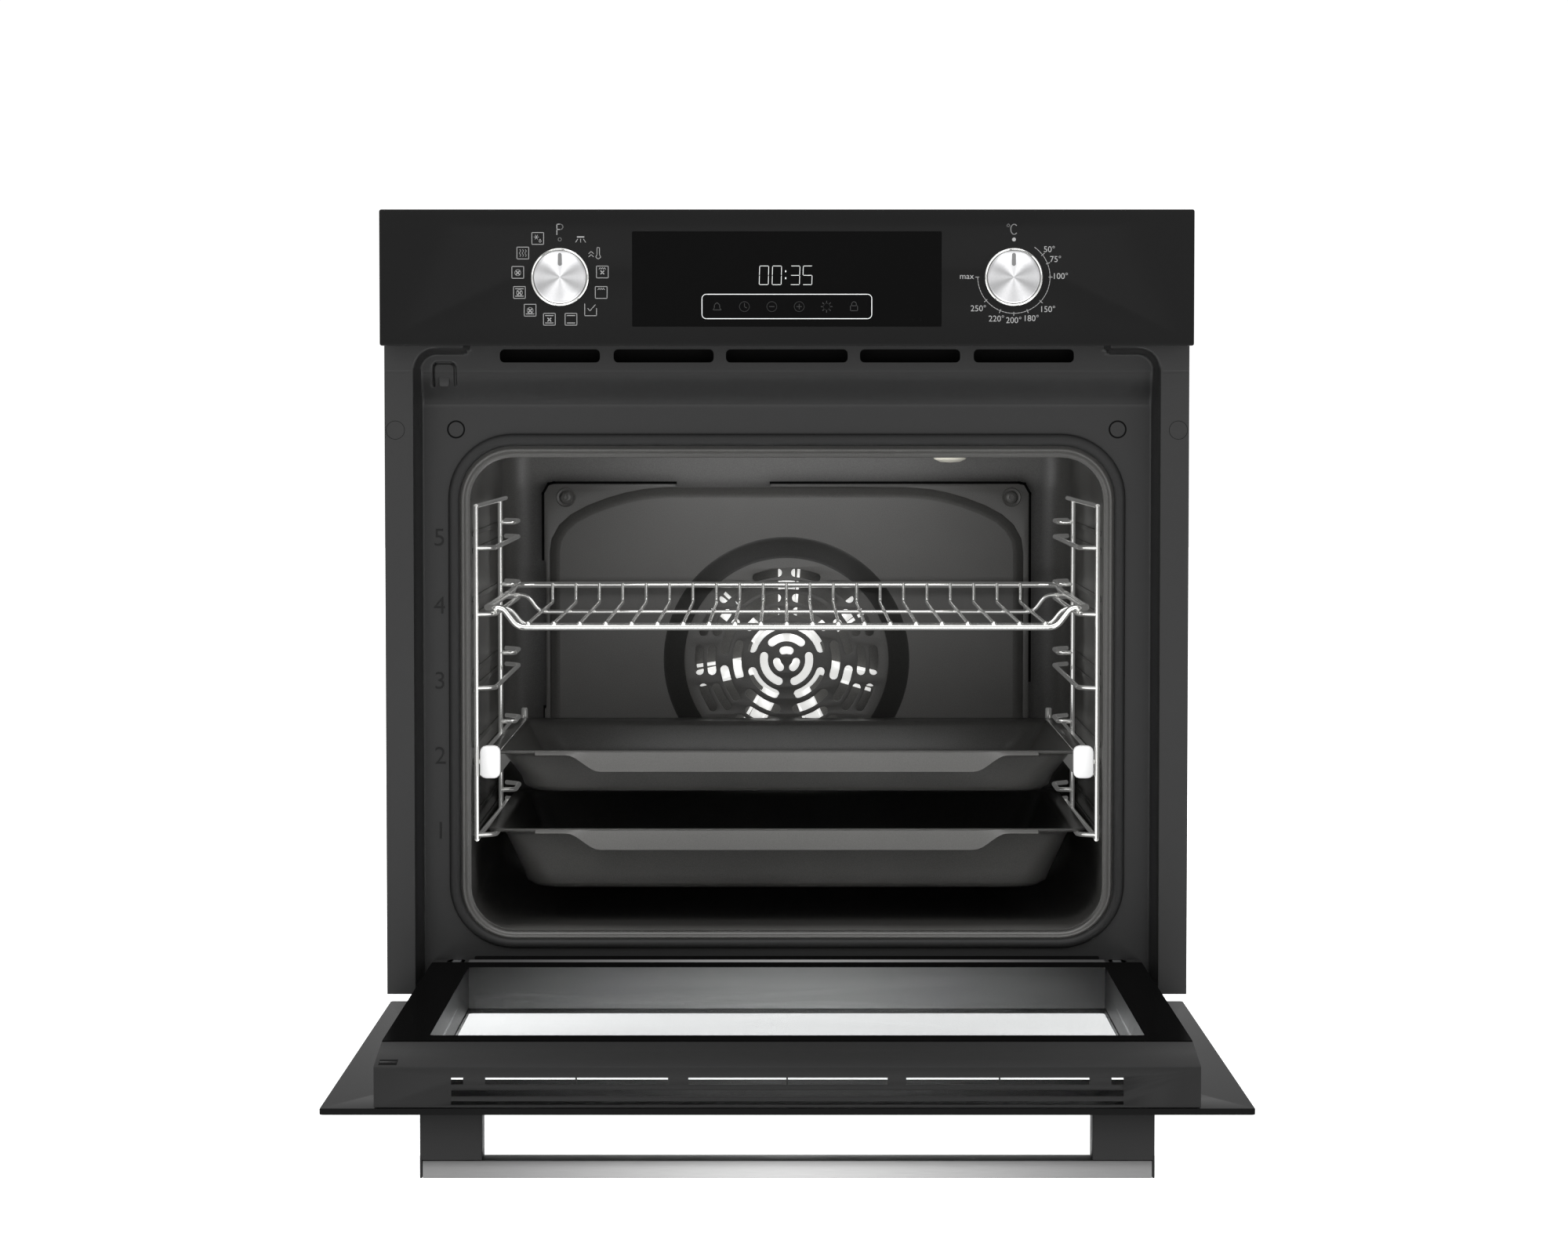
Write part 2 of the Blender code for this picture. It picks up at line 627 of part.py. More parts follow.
# ---- fans and cooling duct ----
def add_convection_fan():
    centre = (0, fan_z)
    front = cover_y + 0.0035
    back = front + FAN_WIDTH
    blade_half = 0.0075
    outline = []
    for n in range(FAN_BLADES):
        turn = pi / 2 + 2 * pi * n / FAN_BLADES
        pitch = pi / FAN_BLADES
        root = sqrt(FAN_HUB ** 2 - blade_half ** 2)
        blade = ((root, -blade_half), (FAN_RADIUS, -blade_half), (FAN_RADIUS, blade_half), (root, blade_half))
        for radial, sideways in blade:
            outline.append((
                radial * cos(turn) - sideways * sin(turn),
                fan_z + radial * sin(turn) + sideways * cos(turn),
            ))
        outline.append((FAN_HUB * cos(turn + pitch), fan_z + FAN_HUB * sin(turn + pitch)))
    origin = (0, front, fan_z)
    fan = add_piece("convection_fan", prism_shape(outline, "y", front, back), CHROME, origin)
    motor_front = cavity_back_y + CAVITY_SHEET + 2 * GAP
    unite(fan, turned_shape(((FAN_SHAFT, back - 0.004), (FAN_SHAFT, motor_front + 0.020)), centre, sides=16), origin)
    motor = (
        (FAN_SHAFT + BORE_CLEARANCE, motor_front), (0.034, motor_front), (0.034, motor_front + 0.038),
        (0.012, motor_front + 0.042), (0.012, motor_front + 0.050), (FAN_SHAFT + BORE_CLEARANCE, motor_front + 0.050),
    )
    add_piece("convection_motor", turned_shape(motor, centre, closed=True, sides=16), ZINC, smooth=True)


def add_cooling():
    duct_half = inside_half - 0.060
    duct_y = (FACE_SETBACK - 0.003, rear_y - 0.080)
    duct_top = deck_z - GAP
    duct_floor = deck_z - 0.0235
    trough = (
        (-duct_half, duct_floor), (duct_half, duct_floor), (duct_half, duct_top), (duct_half - SHEET, duct_top),
        (duct_half - SHEET, duct_floor + SHEET), (SHEET - duct_half, duct_floor + SHEET),
        (SHEET - duct_half, duct_top), (-duct_half, duct_top),
    )
    add_piece("air_duct", prism_shape(trough, "y", *duct_y), ZINC)
    blower_y = rear_y - 0.125
    blower_z = deck_z + SHEET + BLOWER_RADIUS + 0.004
    half = BLOWER_LENGTH / 2
    deck = add_piece("fan_deck", box_shape(
        (-inside_half, inside_half), (FACE_SETBACK + 0.003, rear_y - SHEET - GAP), (deck_z, deck_z + SHEET)), ZINC)
    cut(deck, box_shape((-half, half), (blower_y - 0.018, blower_y + 0.006), (deck_z - 0.01, deck_z + 0.01)))
    outline = []
    for n in range(BLOWER_VANES):
        for radius, part in ((0.012, 0), (BLOWER_RADIUS, 0.15), (BLOWER_RADIUS, 0.35), (0.012, 0.5)):
            turn = 2 * pi * (n + part) / BLOWER_VANES
            outline.append((blower_y + radius * cos(turn), blower_z + radius * sin(turn)))
    origin = (0, blower_y, blower_z)
    wheel = add_piece("cooling_fan_wheel", prism_shape(outline, "x", -half + 0.003, half - 0.003), ZINC, origin)
    shaft = ((FAN_SHAFT, half - 0.008), (FAN_SHAFT, half + 0.020))
    unite(wheel, turned_shape(shaft, (blower_y, blower_z), "x", sides=12), origin)
    inner, outer = BLOWER_RADIUS + 0.003, BLOWER_RADIUS + 0.003 + SHEET
    turns = [radians(-38 + 22 * n) for n in range(11)]
    scroll = [(blower_y + inner * cos(t), blower_z + inner * sin(t)) for t in turns]
    scroll += [(blower_y + outer * cos(t), blower_z + outer * sin(t)) for t in reversed(turns)]
    add_piece("cooling_fan_housing", prism_shape(scroll, "x", -half, half), ZINC, smooth=True)
    motor = (
        (FAN_SHAFT + BORE_CLEARANCE, half + GAP), (0.022, half + GAP), (0.022, half + 0.030),
        (FAN_SHAFT + BORE_CLEARANCE, half + 0.030),
    )
    shape = turned_shape(motor, (blower_y, blower_z), "x", closed=True, sides=16)
    add_piece("cooling_fan_motor", shape, BLACK_PLASTIC, smooth=True)


# ---- control panel ----
def add_control_panel():
    knobs = [(-KNOB_SPACING / 2, "function"), (KNOB_SPACING / 2, "temperature")]
    half = FRONT_WIDTH / 2
    panel = add_piece(
        "control_panel", box_shape((-half, half), (0, GLASS_THICKNESS), (panel_bottom, panel_top)), BLACK_GLASS)
    wall = 0.0012
    low, high = panel_bottom + 0.0015, housing_top - SHEET - GAP
    start, back = GLASS_THICKNESS + GAP, CARRIER_SETBACK
    tray = (
        (start, low), (back + wall, low), (back + wall, high), (start, high), (start, high - wall),
        (back, high - wall), (back, low + wall), (start, low + wall),
    )
    carrier = add_piece("panel_carrier", prism_shape(tray, "x", -inside_half, inside_half), BLACK_PLASTIC)
    holes, bores = bmesh.new(), bmesh.new()
    for x, _ in knobs:
        for shape, radius, span in (
            (holes, bezel_radius + GAP, (-0.01, 0.01)), (bores, 0.006, (back - 0.01, back + 0.01)),
        ):
            near, far = (
                [shape.verts.new((a, y, b)) for a, b in circle_outline((x, knob_z), radius)] for y in span
            )
            for n in range(ROUND):
                m = (n + 1) % ROUND
                shape.faces.new((near[n], near[m], far[m], far[n]))
            shape.faces.new(near)
            shape.faces.new(far)
    cut(panel, holes)
    cut(carrier, bores)
    middle = (panel_bottom + 0.014, panel_top - 0.016)
    module = box_shape((-DISPLAY_HALF, DISPLAY_HALF), (GLASS_THICKNESS + GAP, 0.017), middle)
    add_piece("display_module", module, BLACK_PLASTIC)
    board_half = KNOB_SPACING / 2 - bezel_radius - 0.004
    board = box_shape((-board_half, board_half), (0.0200, 0.0216), (panel_bottom + 0.007, panel_top - 0.011))
    add_piece("control_board", board, BOARD)
    for x, name in knobs:
        add_knob(x, name)


def add_knob(x, name):
    centre = (x, knob_z)
    ring = ((bezel_radius, -0.001), (bezel_radius, 0.024), (bezel_bore, 0.024), (bezel_bore, -0.001))
    add_piece(name + "_bezel", turned_shape(ring, centre, closed=True, sides=32), CHROME, smooth=True)
    bore = SPINDLE_RADIUS + BORE_CLEARANCE
    front, back = -KNOB_PROUD, KNOB_LENGTH - KNOB_PROUD
    body = (
        (KNOB_RADIUS - 0.0006, front), (KNOB_RADIUS, front + 0.0006), (KNOB_RADIUS, back),
        (bore, back), (bore, front + 0.0025),
    )
    origin = (x, 0, knob_z)
    add_piece(name + "_knob", turned_shape(body, centre, sides=32), BRUSHED, origin, smooth=True)
    selector_y = CARRIER_SETBACK + SHEET + GAP
    spindle = ((SPINDLE_RADIUS, front + 0.0030), (SPINDLE_RADIUS, selector_y + SELECTOR_DEPTH - 0.003))
    add_piece(name + "_spindle", turned_shape(spindle, centre, sides=16), ZINC, origin, smooth=True)
    reach = SELECTOR_SIZE / 2
    body = box_shape(
        (x - reach, x + reach), (selector_y, selector_y + SELECTOR_DEPTH), (knob_z - reach, knob_z + reach))
    selector = add_piece(name + "_selector", body, WHITE_CERAMIC)
    through = ((bore, selector_y - 0.01), (bore, selector_y + SELECTOR_DEPTH + 0.01))
    cut(selector, turned_shape(through, centre, sides=16))


# ---- racks, runners, shelf and trays ----
def add_side_racks():
    back = rack_front + RACK_LENGTH
    upright_2 = rack_front + RACK_UPRIGHT_PITCH
    low, high = level[0] - 0.0075, mouth_top - 0.035
    plain = (0, 2, 3, 4)
    for name, side in SIDES:
        outer = mirrored(side, rack_half - WIRE, rack_half)
        run = mirrored(side, rack_half - RUNG_REACH, rack_half - RUNG_REACH + WIRE)
        xs = sorted({*outer, *run})
        ys = (rack_front, rack_front + WIRE, upright_2, upright_2 + WIRE, back)
        zs = sorted({low, high, high - WIRE, *level, *(z - WIRE for z in level)})

        def wired(x, y, z, outer=outer, run=run):
            in_outer = outer[0] < x < outer[1]
            in_run = run[0] < x < run[1]
            at_upright = y < rack_front + WIRE or upright_2 < y < upright_2 + WIRE
            on_level = [n for n in range(5) if level[n] - WIRE < z < level[n]]
            if in_outer and y < upright_2 + WIRE:
                return at_upright or z > high - WIRE or 1 in on_level
            if in_run:
                return any(n in plain for n in on_level)
            return not in_outer and at_upright and any(n in plain for n in on_level)

        add_piece("side_rack_" + name, cell_shape(xs, ys, zs, wired), CHROME)


def add_runners():
    top = level[1] + 0.0037
    z = (top - RUNNER_HEIGHT, top)
    outer = rack_half - WIRE - 0.0005
    third = (RUNNER_WIDTH - 0.0008) / 3
    back = tray_back
    for name, side in SIDES:
        fixed = mirrored(side, outer - third, outer)
        middle = mirrored(side, outer - 2 * third - 0.0004, outer - third - 0.0004)
        inner = mirrored(side, outer - RUNNER_WIDTH, outer - 2 * third - 0.0008)
        start = rack_front + 0.0007
        add_piece("runner_fixed_" + name, box_shape(fixed, (start + 0.002, back - 0.006), z), ZINC)
        add_piece("runner_middle_" + name, box_shape(middle, (start, back - 0.004), z), ZINC)
        cap = mirrored(side, outer - RUNNER_WIDTH, outer)
        xs = sorted({*inner, *cap})
        ys = (start - GAP - CAP_DEPTH, start - GAP, back + GAP, back + 0.0043)
        zs = (z[0] - 0.001, z[0], z[1], z[1] + CAP_OVER, z[1] + 0.0095)

        def filled(x, y, z_at, inner=inner, ys=ys, zs=zs):
            if y < ys[1]:
                return z_at < zs[3]
            if not inner[0] < x < inner[1] or z_at < zs[1]:
                return False
            return z_at < zs[2] or y > ys[2]

        add_piece("runner_inner_" + name, cell_shape(xs, ys, zs, filled), BRUSHED)


def add_tray(name, rim_top, depth):
    y = (tray_front, tray_back)

    def loop(z, inset, radius):
        return level_loop(z, (-tray_half + inset, tray_half - inset), (y[0] + inset, y[1] - inset), radius)

    bottom = rim_top - depth
    inner_foot = TRAY_RIM + TRAY_TAPER
    shape = loft_shape((
        loop(bottom + TRAY_SHEET, inner_foot, 0.022),
        loop(rim_top, TRAY_RIM, 0.016),
        loop(rim_top, 0, 0.010),
        loop(rim_top - TRAY_SHEET, 0, 0.010),
        loop(rim_top - TRAY_SHEET, TRAY_RIM - TRAY_SHEET, 0.016),
        loop(bottom, inner_foot - TRAY_SHEET, 0.022),
    ))
    add_piece(name, shape, GREY_ENAMEL, smooth=True)


def add_wire_shelf():
    rail_bottom = level[3] + GAP
    floor_bottom = rail_bottom - SHELF_DROP
    half = rack_half - WIRE - 0.0025
    run_half = half - SHELF_RUN_INSET
    front, back = tray_front, tray_back
    thin = 0.0025
    pitch = 2 * run_half / (CROSS_WIRES + 1)
    crossing = [-run_half + pitch * (n + 1) for n in range(CROSS_WIRES)]
    xs = [-half, WIRE - half, -run_half, WIRE - run_half, run_half - WIRE, run_half, half - WIRE, half]
    xs += [x + offset for x in crossing for offset in (-thin / 2, thin / 2)]
    xs.sort()
    ys = (front, front + WIRE, back - 2 * WIRE, back - WIRE, back)
    zs = (floor_bottom, floor_bottom + WIRE, rail_bottom, rail_bottom + WIRE)

    def wired(x, y, z):
        end = y < front + WIRE or back - 2 * WIRE < y < back - WIRE
        on_floor, on_top = z < floor_bottom + WIRE, z > rail_bottom
        if y > back - WIRE:
            return on_top
        if abs(x) > half - WIRE:
            return on_top
        if end and abs(x) > run_half - WIRE:
            return on_top or abs(x) < run_half
        if abs(x) > run_half:
            return False
        if end:
            return on_floor
        return on_floor and any(abs(x - at) < thin / 2 for at in crossing)

    add_piece("wire_shelf", cell_shape(xs, ys, zs, wired), CHROME)


# ---- door ----
def add_door():
    half = FRONT_WIDTH / 2
    glass = box_shape((-half, half), (0, GLASS_THICKNESS), (0, door_height))
    add_door_piece("door_outer_glass", glass, BLACK_GLASS)
    behind = GLASS_THICKNESS + GAP
    top_z = door_height - PROFILE_TOP_GAP
    profile_foot = top_z - PROFILE_HEIGHT
    slant_top, slant_foot = STRIP_SETBACK - 0.005, DOOR_THICKNESS - 0.0005
    outline = ((behind, profile_foot), (behind, top_z), (slant_top, top_z), (slant_foot, profile_foot))
    profile = add_door_piece("door_top_profile", prism_shape(outline, "x", -door_half, door_half), BLACK_PLASTIC)
    grooves = bmesh.new()
    slot_half = 0.2137
    for low, high in ((0.0192, 0.0237), (0.0117, 0.0157), (0.0062, 0.0087)):
        add_box(grooves, (-slot_half, slot_half), (low, high), (top_z - 0.012, top_z + 0.01))
    cut(profile, grooves, PIVOT)
    inner_back = DOOR_THICKNESS
    pane_top = profile_foot - GAP
    add_door_piece("door_inner_glass", box_shape(
        (-door_half, door_half), (inner_back - INNER_GLASS, inner_back), (DOOR_FOOT, pane_top)), CLEAR_GLASS)
    post_in = door_half - SIDE_POST_WIDTH
    add_door_piece("door_middle_glass", box_shape(
        (-post_in + 0.001, post_in - 0.001), (0.018, 0.021),
        (DOOR_FOOT + 0.003, pane_top - MIDDLE_GLASS_DROP)), CLEAR_GLASS)
    foot = PIVOT_Z - 0.008
    add_door_piece("door_bottom_profile", box_shape(
        (-post_in + GAP, post_in - GAP), (behind, inner_back), (foot + 0.003, DOOR_FOOT - GAP)), BLACK_PLASTIC)
    cheek_inner, cheek_outer = 0.003, 0.0105
    for name, side in SIDES:
        x = [*mirrored(side, post_in, post_in + cheek_inner), *mirrored(side, door_half - cheek_outer, door_half)]
        xs = sorted(x)
        ys = (behind, behind + 0.002, inner_back - INNER_GLASS - GAP, inner_back - GAP)
        zs = (foot, DOOR_FOOT - GAP, profile_foot - GAP)

        def filled(x_at, y_at, z_at, xs=xs, ys=ys, zs=zs):
            if y_at < ys[1]:
                return True
            return not xs[1] < x_at < xs[2] and (y_at < ys[2] or z_at < zs[1])

        post = add_door_piece("door_side_" + name, cell_shape(xs, ys, zs, filled), BLACK_PLASTIC)
        radius = PIN_RADIUS + PIN_CLEARANCE
        bore = ((radius, xs[0] - 0.01), (radius, xs[3] + 0.01))
        cut(post, turned_shape(bore, (PIVOT_Y, PIVOT_Z), "x", sides=16), PIVOT)
    add_handle()


def add_handle():
    half = HANDLE_WIDTH / 2
    top = door_height - HANDLE_TOP_DROP
    z = (top - HANDLE_FACE, top)
    bar = box_shape((END_CAP + GAP - half, half - END_CAP - GAP), (-HANDLE_STANDOFF - HANDLE_BAR, -HANDLE_STANDOFF), z)
    add_door_piece("handle_bar", bar, BRUSHED)
    for name, side in SIDES:
        xs = sorted((*mirrored(side, half - POST_WIDTH, half - END_CAP), side * half))
        ys = (-HANDLE_STANDOFF - HANDLE_BAR, GAP - HANDLE_STANDOFF, -GAP)
        shape = cell_shape(xs, ys, z, lambda x, y, _z: y > -HANDLE_STANDOFF or abs(x) > half - END_CAP)
        add_door_piece("handle_post_" + name, shape, BLACK_PLASTIC)


def add_hinge_arms():
    middle = door_half - HINGE_X_IN
    turn = [radians(80 + 20 * n) for n in range(10)]
    nose = [(PIVOT_Y + 0.0065 * cos(t), PIVOT_Z + 0.0065 * sin(t)) for t in turn]
    tail = ((0.110, 0.0255), (0.110, 0.0385))
    outline = [*nose, *tail]
    for name, side in SIDES:
        x = mirrored(side, middle - ARM_THICKNESS / 2, middle + ARM_THICKNESS / 2)
        arm = add_piece("hinge_arm_" + name, prism_shape(outline, "x", *x), ZINC)
        reach = mirrored(side, middle - 0.0090, middle + 0.0090)
        pin = ((PIN_RADIUS, reach[0]), (PIN_RADIUS, reach[1]))
        unite(arm, turned_shape(pin, (PIVOT_Y, PIVOT_Z), "x", sides=16))


add_front_frame()
add_cavity()
add_fan_cover()
add_casing()
add_insulation()
add_heaters()
add_lamp()
add_probe()
add_convection_fan()
add_cooling()
add_control_panel()
add_side_racks()
add_runners()
add_tray("tray_upper", level[1] + 0.0052, SHALLOW_TRAY_DEPTH)
add_tray("tray_lower", level[0] + TRAY_SHEET + GAP, DEEP_TRAY_DEPTH)
add_wire_shelf()
add_door()
add_hinge_arms()
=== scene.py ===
"""Built-in wall oven with its drop-down door open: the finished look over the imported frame.

Pieces are laid out in millimetres. x runs to the right, z up from the base pan's underside, and
y back from the control panel's front face. A door piece is laid out on the closed door, and
laid_open() puts it where it lies with the door open.
"""

from math import cos, degrees, hypot, pi, radians, sin

import bmesh
import bpy
from bpy.props import FloatProperty, FloatVectorProperty, PointerProperty
from mathutils import Matrix, Vector


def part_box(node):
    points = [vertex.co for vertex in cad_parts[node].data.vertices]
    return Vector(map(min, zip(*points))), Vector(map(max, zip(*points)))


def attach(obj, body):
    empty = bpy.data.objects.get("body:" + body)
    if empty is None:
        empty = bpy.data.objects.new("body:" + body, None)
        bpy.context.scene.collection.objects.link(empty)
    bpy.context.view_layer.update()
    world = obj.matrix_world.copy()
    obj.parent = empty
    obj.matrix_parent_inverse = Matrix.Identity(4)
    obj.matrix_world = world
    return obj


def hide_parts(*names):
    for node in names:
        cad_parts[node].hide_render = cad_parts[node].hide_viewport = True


bl_info = {
    "name": "Built-in Wall Oven",
    "version": (1, 0, 0),
    "blender": (4, 5, 0),
    "location": "View3D > Sidebar > Oven",
    "description": "Finished pieces of a built-in wall oven over its CAD frame",
    "category": "Object",
}

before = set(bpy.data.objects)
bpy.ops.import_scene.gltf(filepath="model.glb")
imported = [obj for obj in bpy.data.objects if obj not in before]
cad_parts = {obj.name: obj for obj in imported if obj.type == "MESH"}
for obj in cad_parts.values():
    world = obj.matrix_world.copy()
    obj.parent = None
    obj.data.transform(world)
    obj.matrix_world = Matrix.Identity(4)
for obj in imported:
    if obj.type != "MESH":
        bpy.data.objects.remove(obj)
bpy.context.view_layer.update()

MM = 0.001
PANEL_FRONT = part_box("control_panel")[0].y
PIVOT_Y, PIVOT_Z = 31.0, 32.2


def cad_span(node):
    """A CAD node's box in this file's millimetres: ((x, x), (y, y), (z, z))."""
    low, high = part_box(node)
    return tuple(
        ((low[i] - shift) / MM, (high[i] - shift) / MM) for i, shift in enumerate((0, PANEL_FRONT, 0))
    )


# ---- shapes ----

def laid_open(point):
    """A point of the closed door, where it lies with the door open."""
    x, y, z = point
    return (x, PIVOT_Y + PIVOT_Z - z, y + PIVOT_Z - PIVOT_Y)


def in_frame(point):
    x, y, z = point
    return Vector((x * MM, PANEL_FRONT + y * MM, z * MM))


def smooth_step(value):
    value = min(max(value, 0.0), 1.0)
    return value * value * (3 - 2 * value)


def rounded(u, v, radius, steps=8):
    """Anticlockwise outline of a rectangle with rounded corners."""
    points = []
    for cu, cv, start in (
        (u[1] - radius, v[1] - radius, 0), (u[0] + radius, v[1] - radius, 90),
        (u[0] + radius, v[0] + radius, 180), (u[1] - radius, v[0] + radius, 270),
    ):
        for n in range(steps + 1):
            angle = radians(start + 90 * n / steps)
            points.append((cu + radius * cos(angle), cv + radius * sin(angle)))
    return points


def circle(centre, radius, sides=48):
    return [
        (centre[0] + radius * cos(2 * pi * n / sides), centre[1] + radius * sin(2 * pi * n / sides))
        for n in range(sides)
    ]


def curved_slot(radius, middle, half_span, width, centre=(0, 0)):
    """Outline of a slot along an arc, with round ends. Angles in degrees."""
    inner, outer = radius - width / 2, radius + width / 2
    bend = half_span - degrees(width / 2 / radius)
    steps = max(3, int(bend / 4))
    points = []
    for n in range(steps + 1):
        a = radians(middle - bend + 2 * bend * n / steps)
        points.append((outer * cos(a), outer * sin(a)))
    for sign, order in ((1, range(1, 6)), (-1, None)):
        if order is None:
            for n in range(steps + 1):
                a = radians(middle + bend - 2 * bend * n / steps)
                points.append((inner * cos(a), inner * sin(a)))
            order = range(1, 6)
        a = radians(middle + sign * bend)
        for n in order:
            turn = a + (pi * n / 6 if sign > 0 else pi + pi * n / 6)
            points.append((
                radius * cos(a) + width / 2 * cos(turn), radius * sin(a) + width / 2 * sin(turn),
            ))
    return [(centre[0] + u, centre[1] + v) for u, v in points]


def bent(points, radius, steps=5):
    """A route whose corners are rounded to the radius."""
    route = [Vector(points[0])]
    for before, corner, after in zip(points, points[1:], points[2:]):
        before, corner, after = Vector(before), Vector(corner), Vector(after)
        reach = min(radius, (before - corner).length / 2.01, (after - corner).length / 2.01)
        start = corner + (before - corner).normalized() * reach
        end = corner + (after - corner).normalized() * reach
        for n in range(steps + 1):
            t = n / steps
            route.append(start * (1 - t) ** 2 + corner * 2 * t * (1 - t) + end * t * t)
    route.append(Vector(points[-1]))
    return route


class Shape:
    """Vertices in millimetres and faces with a finish number, gathered for one piece."""

    def __init__(self):
        self.verts, self.faces, self.finish_of = [], [], []

    def add(self, verts, faces, finish=0):
        start = len(self.verts)
        self.verts += [tuple(v) for v in verts]
        self.faces += [tuple(start + i for i in face) for face in faces]
        self.finish_of += [finish] * len(faces)

    def loft(self, rings, finish=0, first=False, last=False, ring_shut=True, joined=False):
        """Skin over rings of equal length, with end faces where asked."""
        count = len(rings[0])
        faces = []
        pairs = len(rings) if joined else len(rings) - 1
        for r in range(pairs):
            a, b = r * count, (r + 1) % len(rings) * count
            for n in range(count if ring_shut else count - 1):
                m = (n + 1) % count
                faces.append((a + n, a + m, b + m, b + n))
        if first:
            faces.append(tuple(range(count))[::-1])
        if last:
            faces.append(tuple((len(rings) - 1) * count + n for n in range(count)))
        self.add([p for ring in rings for p in ring], faces, finish)

    def slab(self, outline, low, high, edge=0.4, finish=0, plane="xz"):
        """An outline carried from low to high, its rims eased by edge."""
        centre = [sum(p[i] for p in outline) / len(outline) for i in (0, 1)]
        spread = max(max(abs(p[i] - centre[i]) for p in outline) for i in (0, 1))

        def ring(depth, inset):
            scale = 1 - inset / spread
            return [
                solid(
                    centre[0] + (u - centre[0]) * scale, centre[1] + (v - centre[1]) * scale, depth, plane,
                )
                for u, v in outline
            ]

        rings = [ring(low, edge), ring(low + edge * 0.3, edge * 0.3), ring(low + edge, 0)]
        rings += [ring(high - edge, 0), ring(high - edge * 0.3, edge * 0.3), ring(high, edge)]
        self.loft(rings, finish, first=True, last=True)

    def block(self, x, y, z, edge=0.5, finish=0, radius=1.0):
        """A block with rounded upright edges seen from the front."""
        radius = min(radius, (x[1] - x[0]) / 2.1, (z[1] - z[0]) / 2.1)
        self.slab(rounded(x, z, radius, 3), y[0], y[1], min(edge, (y[1] - y[0]) / 2.5), finish)

    def turn(self, profile, centre, finish=0, sides=64, axis="y", joined=False):
        """A profile of (radius, place along the axis) turned about it."""
        rings = []
        for radius, along in profile:
            rings.append([
                solid(
                    centre[0] + radius * cos(2 * pi * n / sides),
                    centre[1] + radius * sin(2 * pi * n / sides), along, {"y": "xz", "z": "xy", "x": "yz"}[axis],
                )
                for n in range(sides)
            ])
        self.loft(rings, finish, joined=joined)

    def sheet(self, outlines, low, high, edge=0.0, finish=0, plane="xz"):
        """A flat sheet from low to high: the first outline, less the ones inside it."""
        curve = bpy.data.curves.new("outline", "CURVE")
        curve.dimensions, curve.fill_mode = "2D", "BOTH"
        curve.extrude = (high - low) / 2 - edge
        curve.bevel_depth, curve.bevel_resolution, curve.offset = edge, 1, -edge
        for outline in outlines:
            spline = curve.splines.new("POLY")
            spline.points.add(len(outline) - 1)
            for point, (u, v) in zip(spline.points, outline):
                point.co = (u, v, 0, 1)
            spline.use_cyclic_u = True
        holder = bpy.data.objects.new("outline", curve)
        bpy.context.collection.objects.link(holder)
        mesh = holder.to_mesh()
        middle = (low + high) / 2
        verts = [solid(v.co.x, v.co.y, middle + v.co.z, plane) for v in mesh.vertices]
        self.add(verts, [tuple(p.vertices) for p in mesh.polygons], finish)
        holder.to_mesh_clear()
        bpy.data.objects.remove(holder)
        bpy.data.curves.remove(curve)

    def lettering(self, text, u, v, size, depth=0.1, at=0.0, finish=0, align="CENTER"):
        """Raised characters on a face turned to the front, at the given y."""
        curve = bpy.data.curves.new("lettering", "FONT")
        curve.body, curve.size, curve.align_x = text, size, align
        curve.extrude, curve.resolution_u, curve.offset = depth / 2, 4, -0.003 * size
        holder = bpy.data.objects.new("lettering", curve)
        bpy.context.collection.objects.link(holder)
        mesh = holder.to_mesh()
        verts = [(u + p.co.x, at - depth / 2 - p.co.z, v + p.co.y) for p in mesh.vertices]
        self.add(verts, [tuple(p.vertices) for p in mesh.polygons], finish)
        holder.to_mesh_clear()
        bpy.data.objects.remove(holder)
        bpy.data.curves.remove(curve)

    def stroke(self, points, width, at, depth=0.06, finish=0, shut=False):
        """Flat printed line on a face turned to the front."""
        points = list(points) + ([points[0]] if shut else [])
        for (u0, v0), (u1, v1) in zip(points, points[1:]):
            length = hypot(u1 - u0, v1 - v0) or 1
            nu, nv = -(v1 - v0) / length * width / 2, (u1 - u0) / length * width / 2
            eu, ev = (u1 - u0) / length * width / 2, (v1 - v0) / length * width / 2
            corners = [
                (u0 + nu - eu, v0 + nv - ev), (u0 - nu - eu, v0 - nv - ev),
                (u1 - nu + eu, v1 - nv + ev), (u1 + nu + eu, v1 + nv + ev),
            ]
            verts = [(u, at, v) for u, v in corners] + [(u, at - depth, v) for u, v in corners]
            faces = [(4, 5, 6, 7), (3, 2, 1, 0), (0, 1, 5, 4), (1, 2, 6, 5), (2, 3, 7, 6), (3, 0, 4, 7)]
            self.add(verts, faces, finish)

    def add_mesh(self, mesh, finish=0):
        """A mesh that is in the frame already."""
        verts = [(v.co.x / MM, (v.co.y - PANEL_FRONT) / MM, v.co.z / MM) for v in mesh.vertices]
        self.add(verts, [tuple(p.vertices) for p in mesh.polygons], finish)

    def join(self, other):
        start = len(self.verts)
        self.verts += other.verts
        self.faces += [tuple(start + i for i in face) for face in other.faces]
        self.finish_of += other.finish_of
        return self

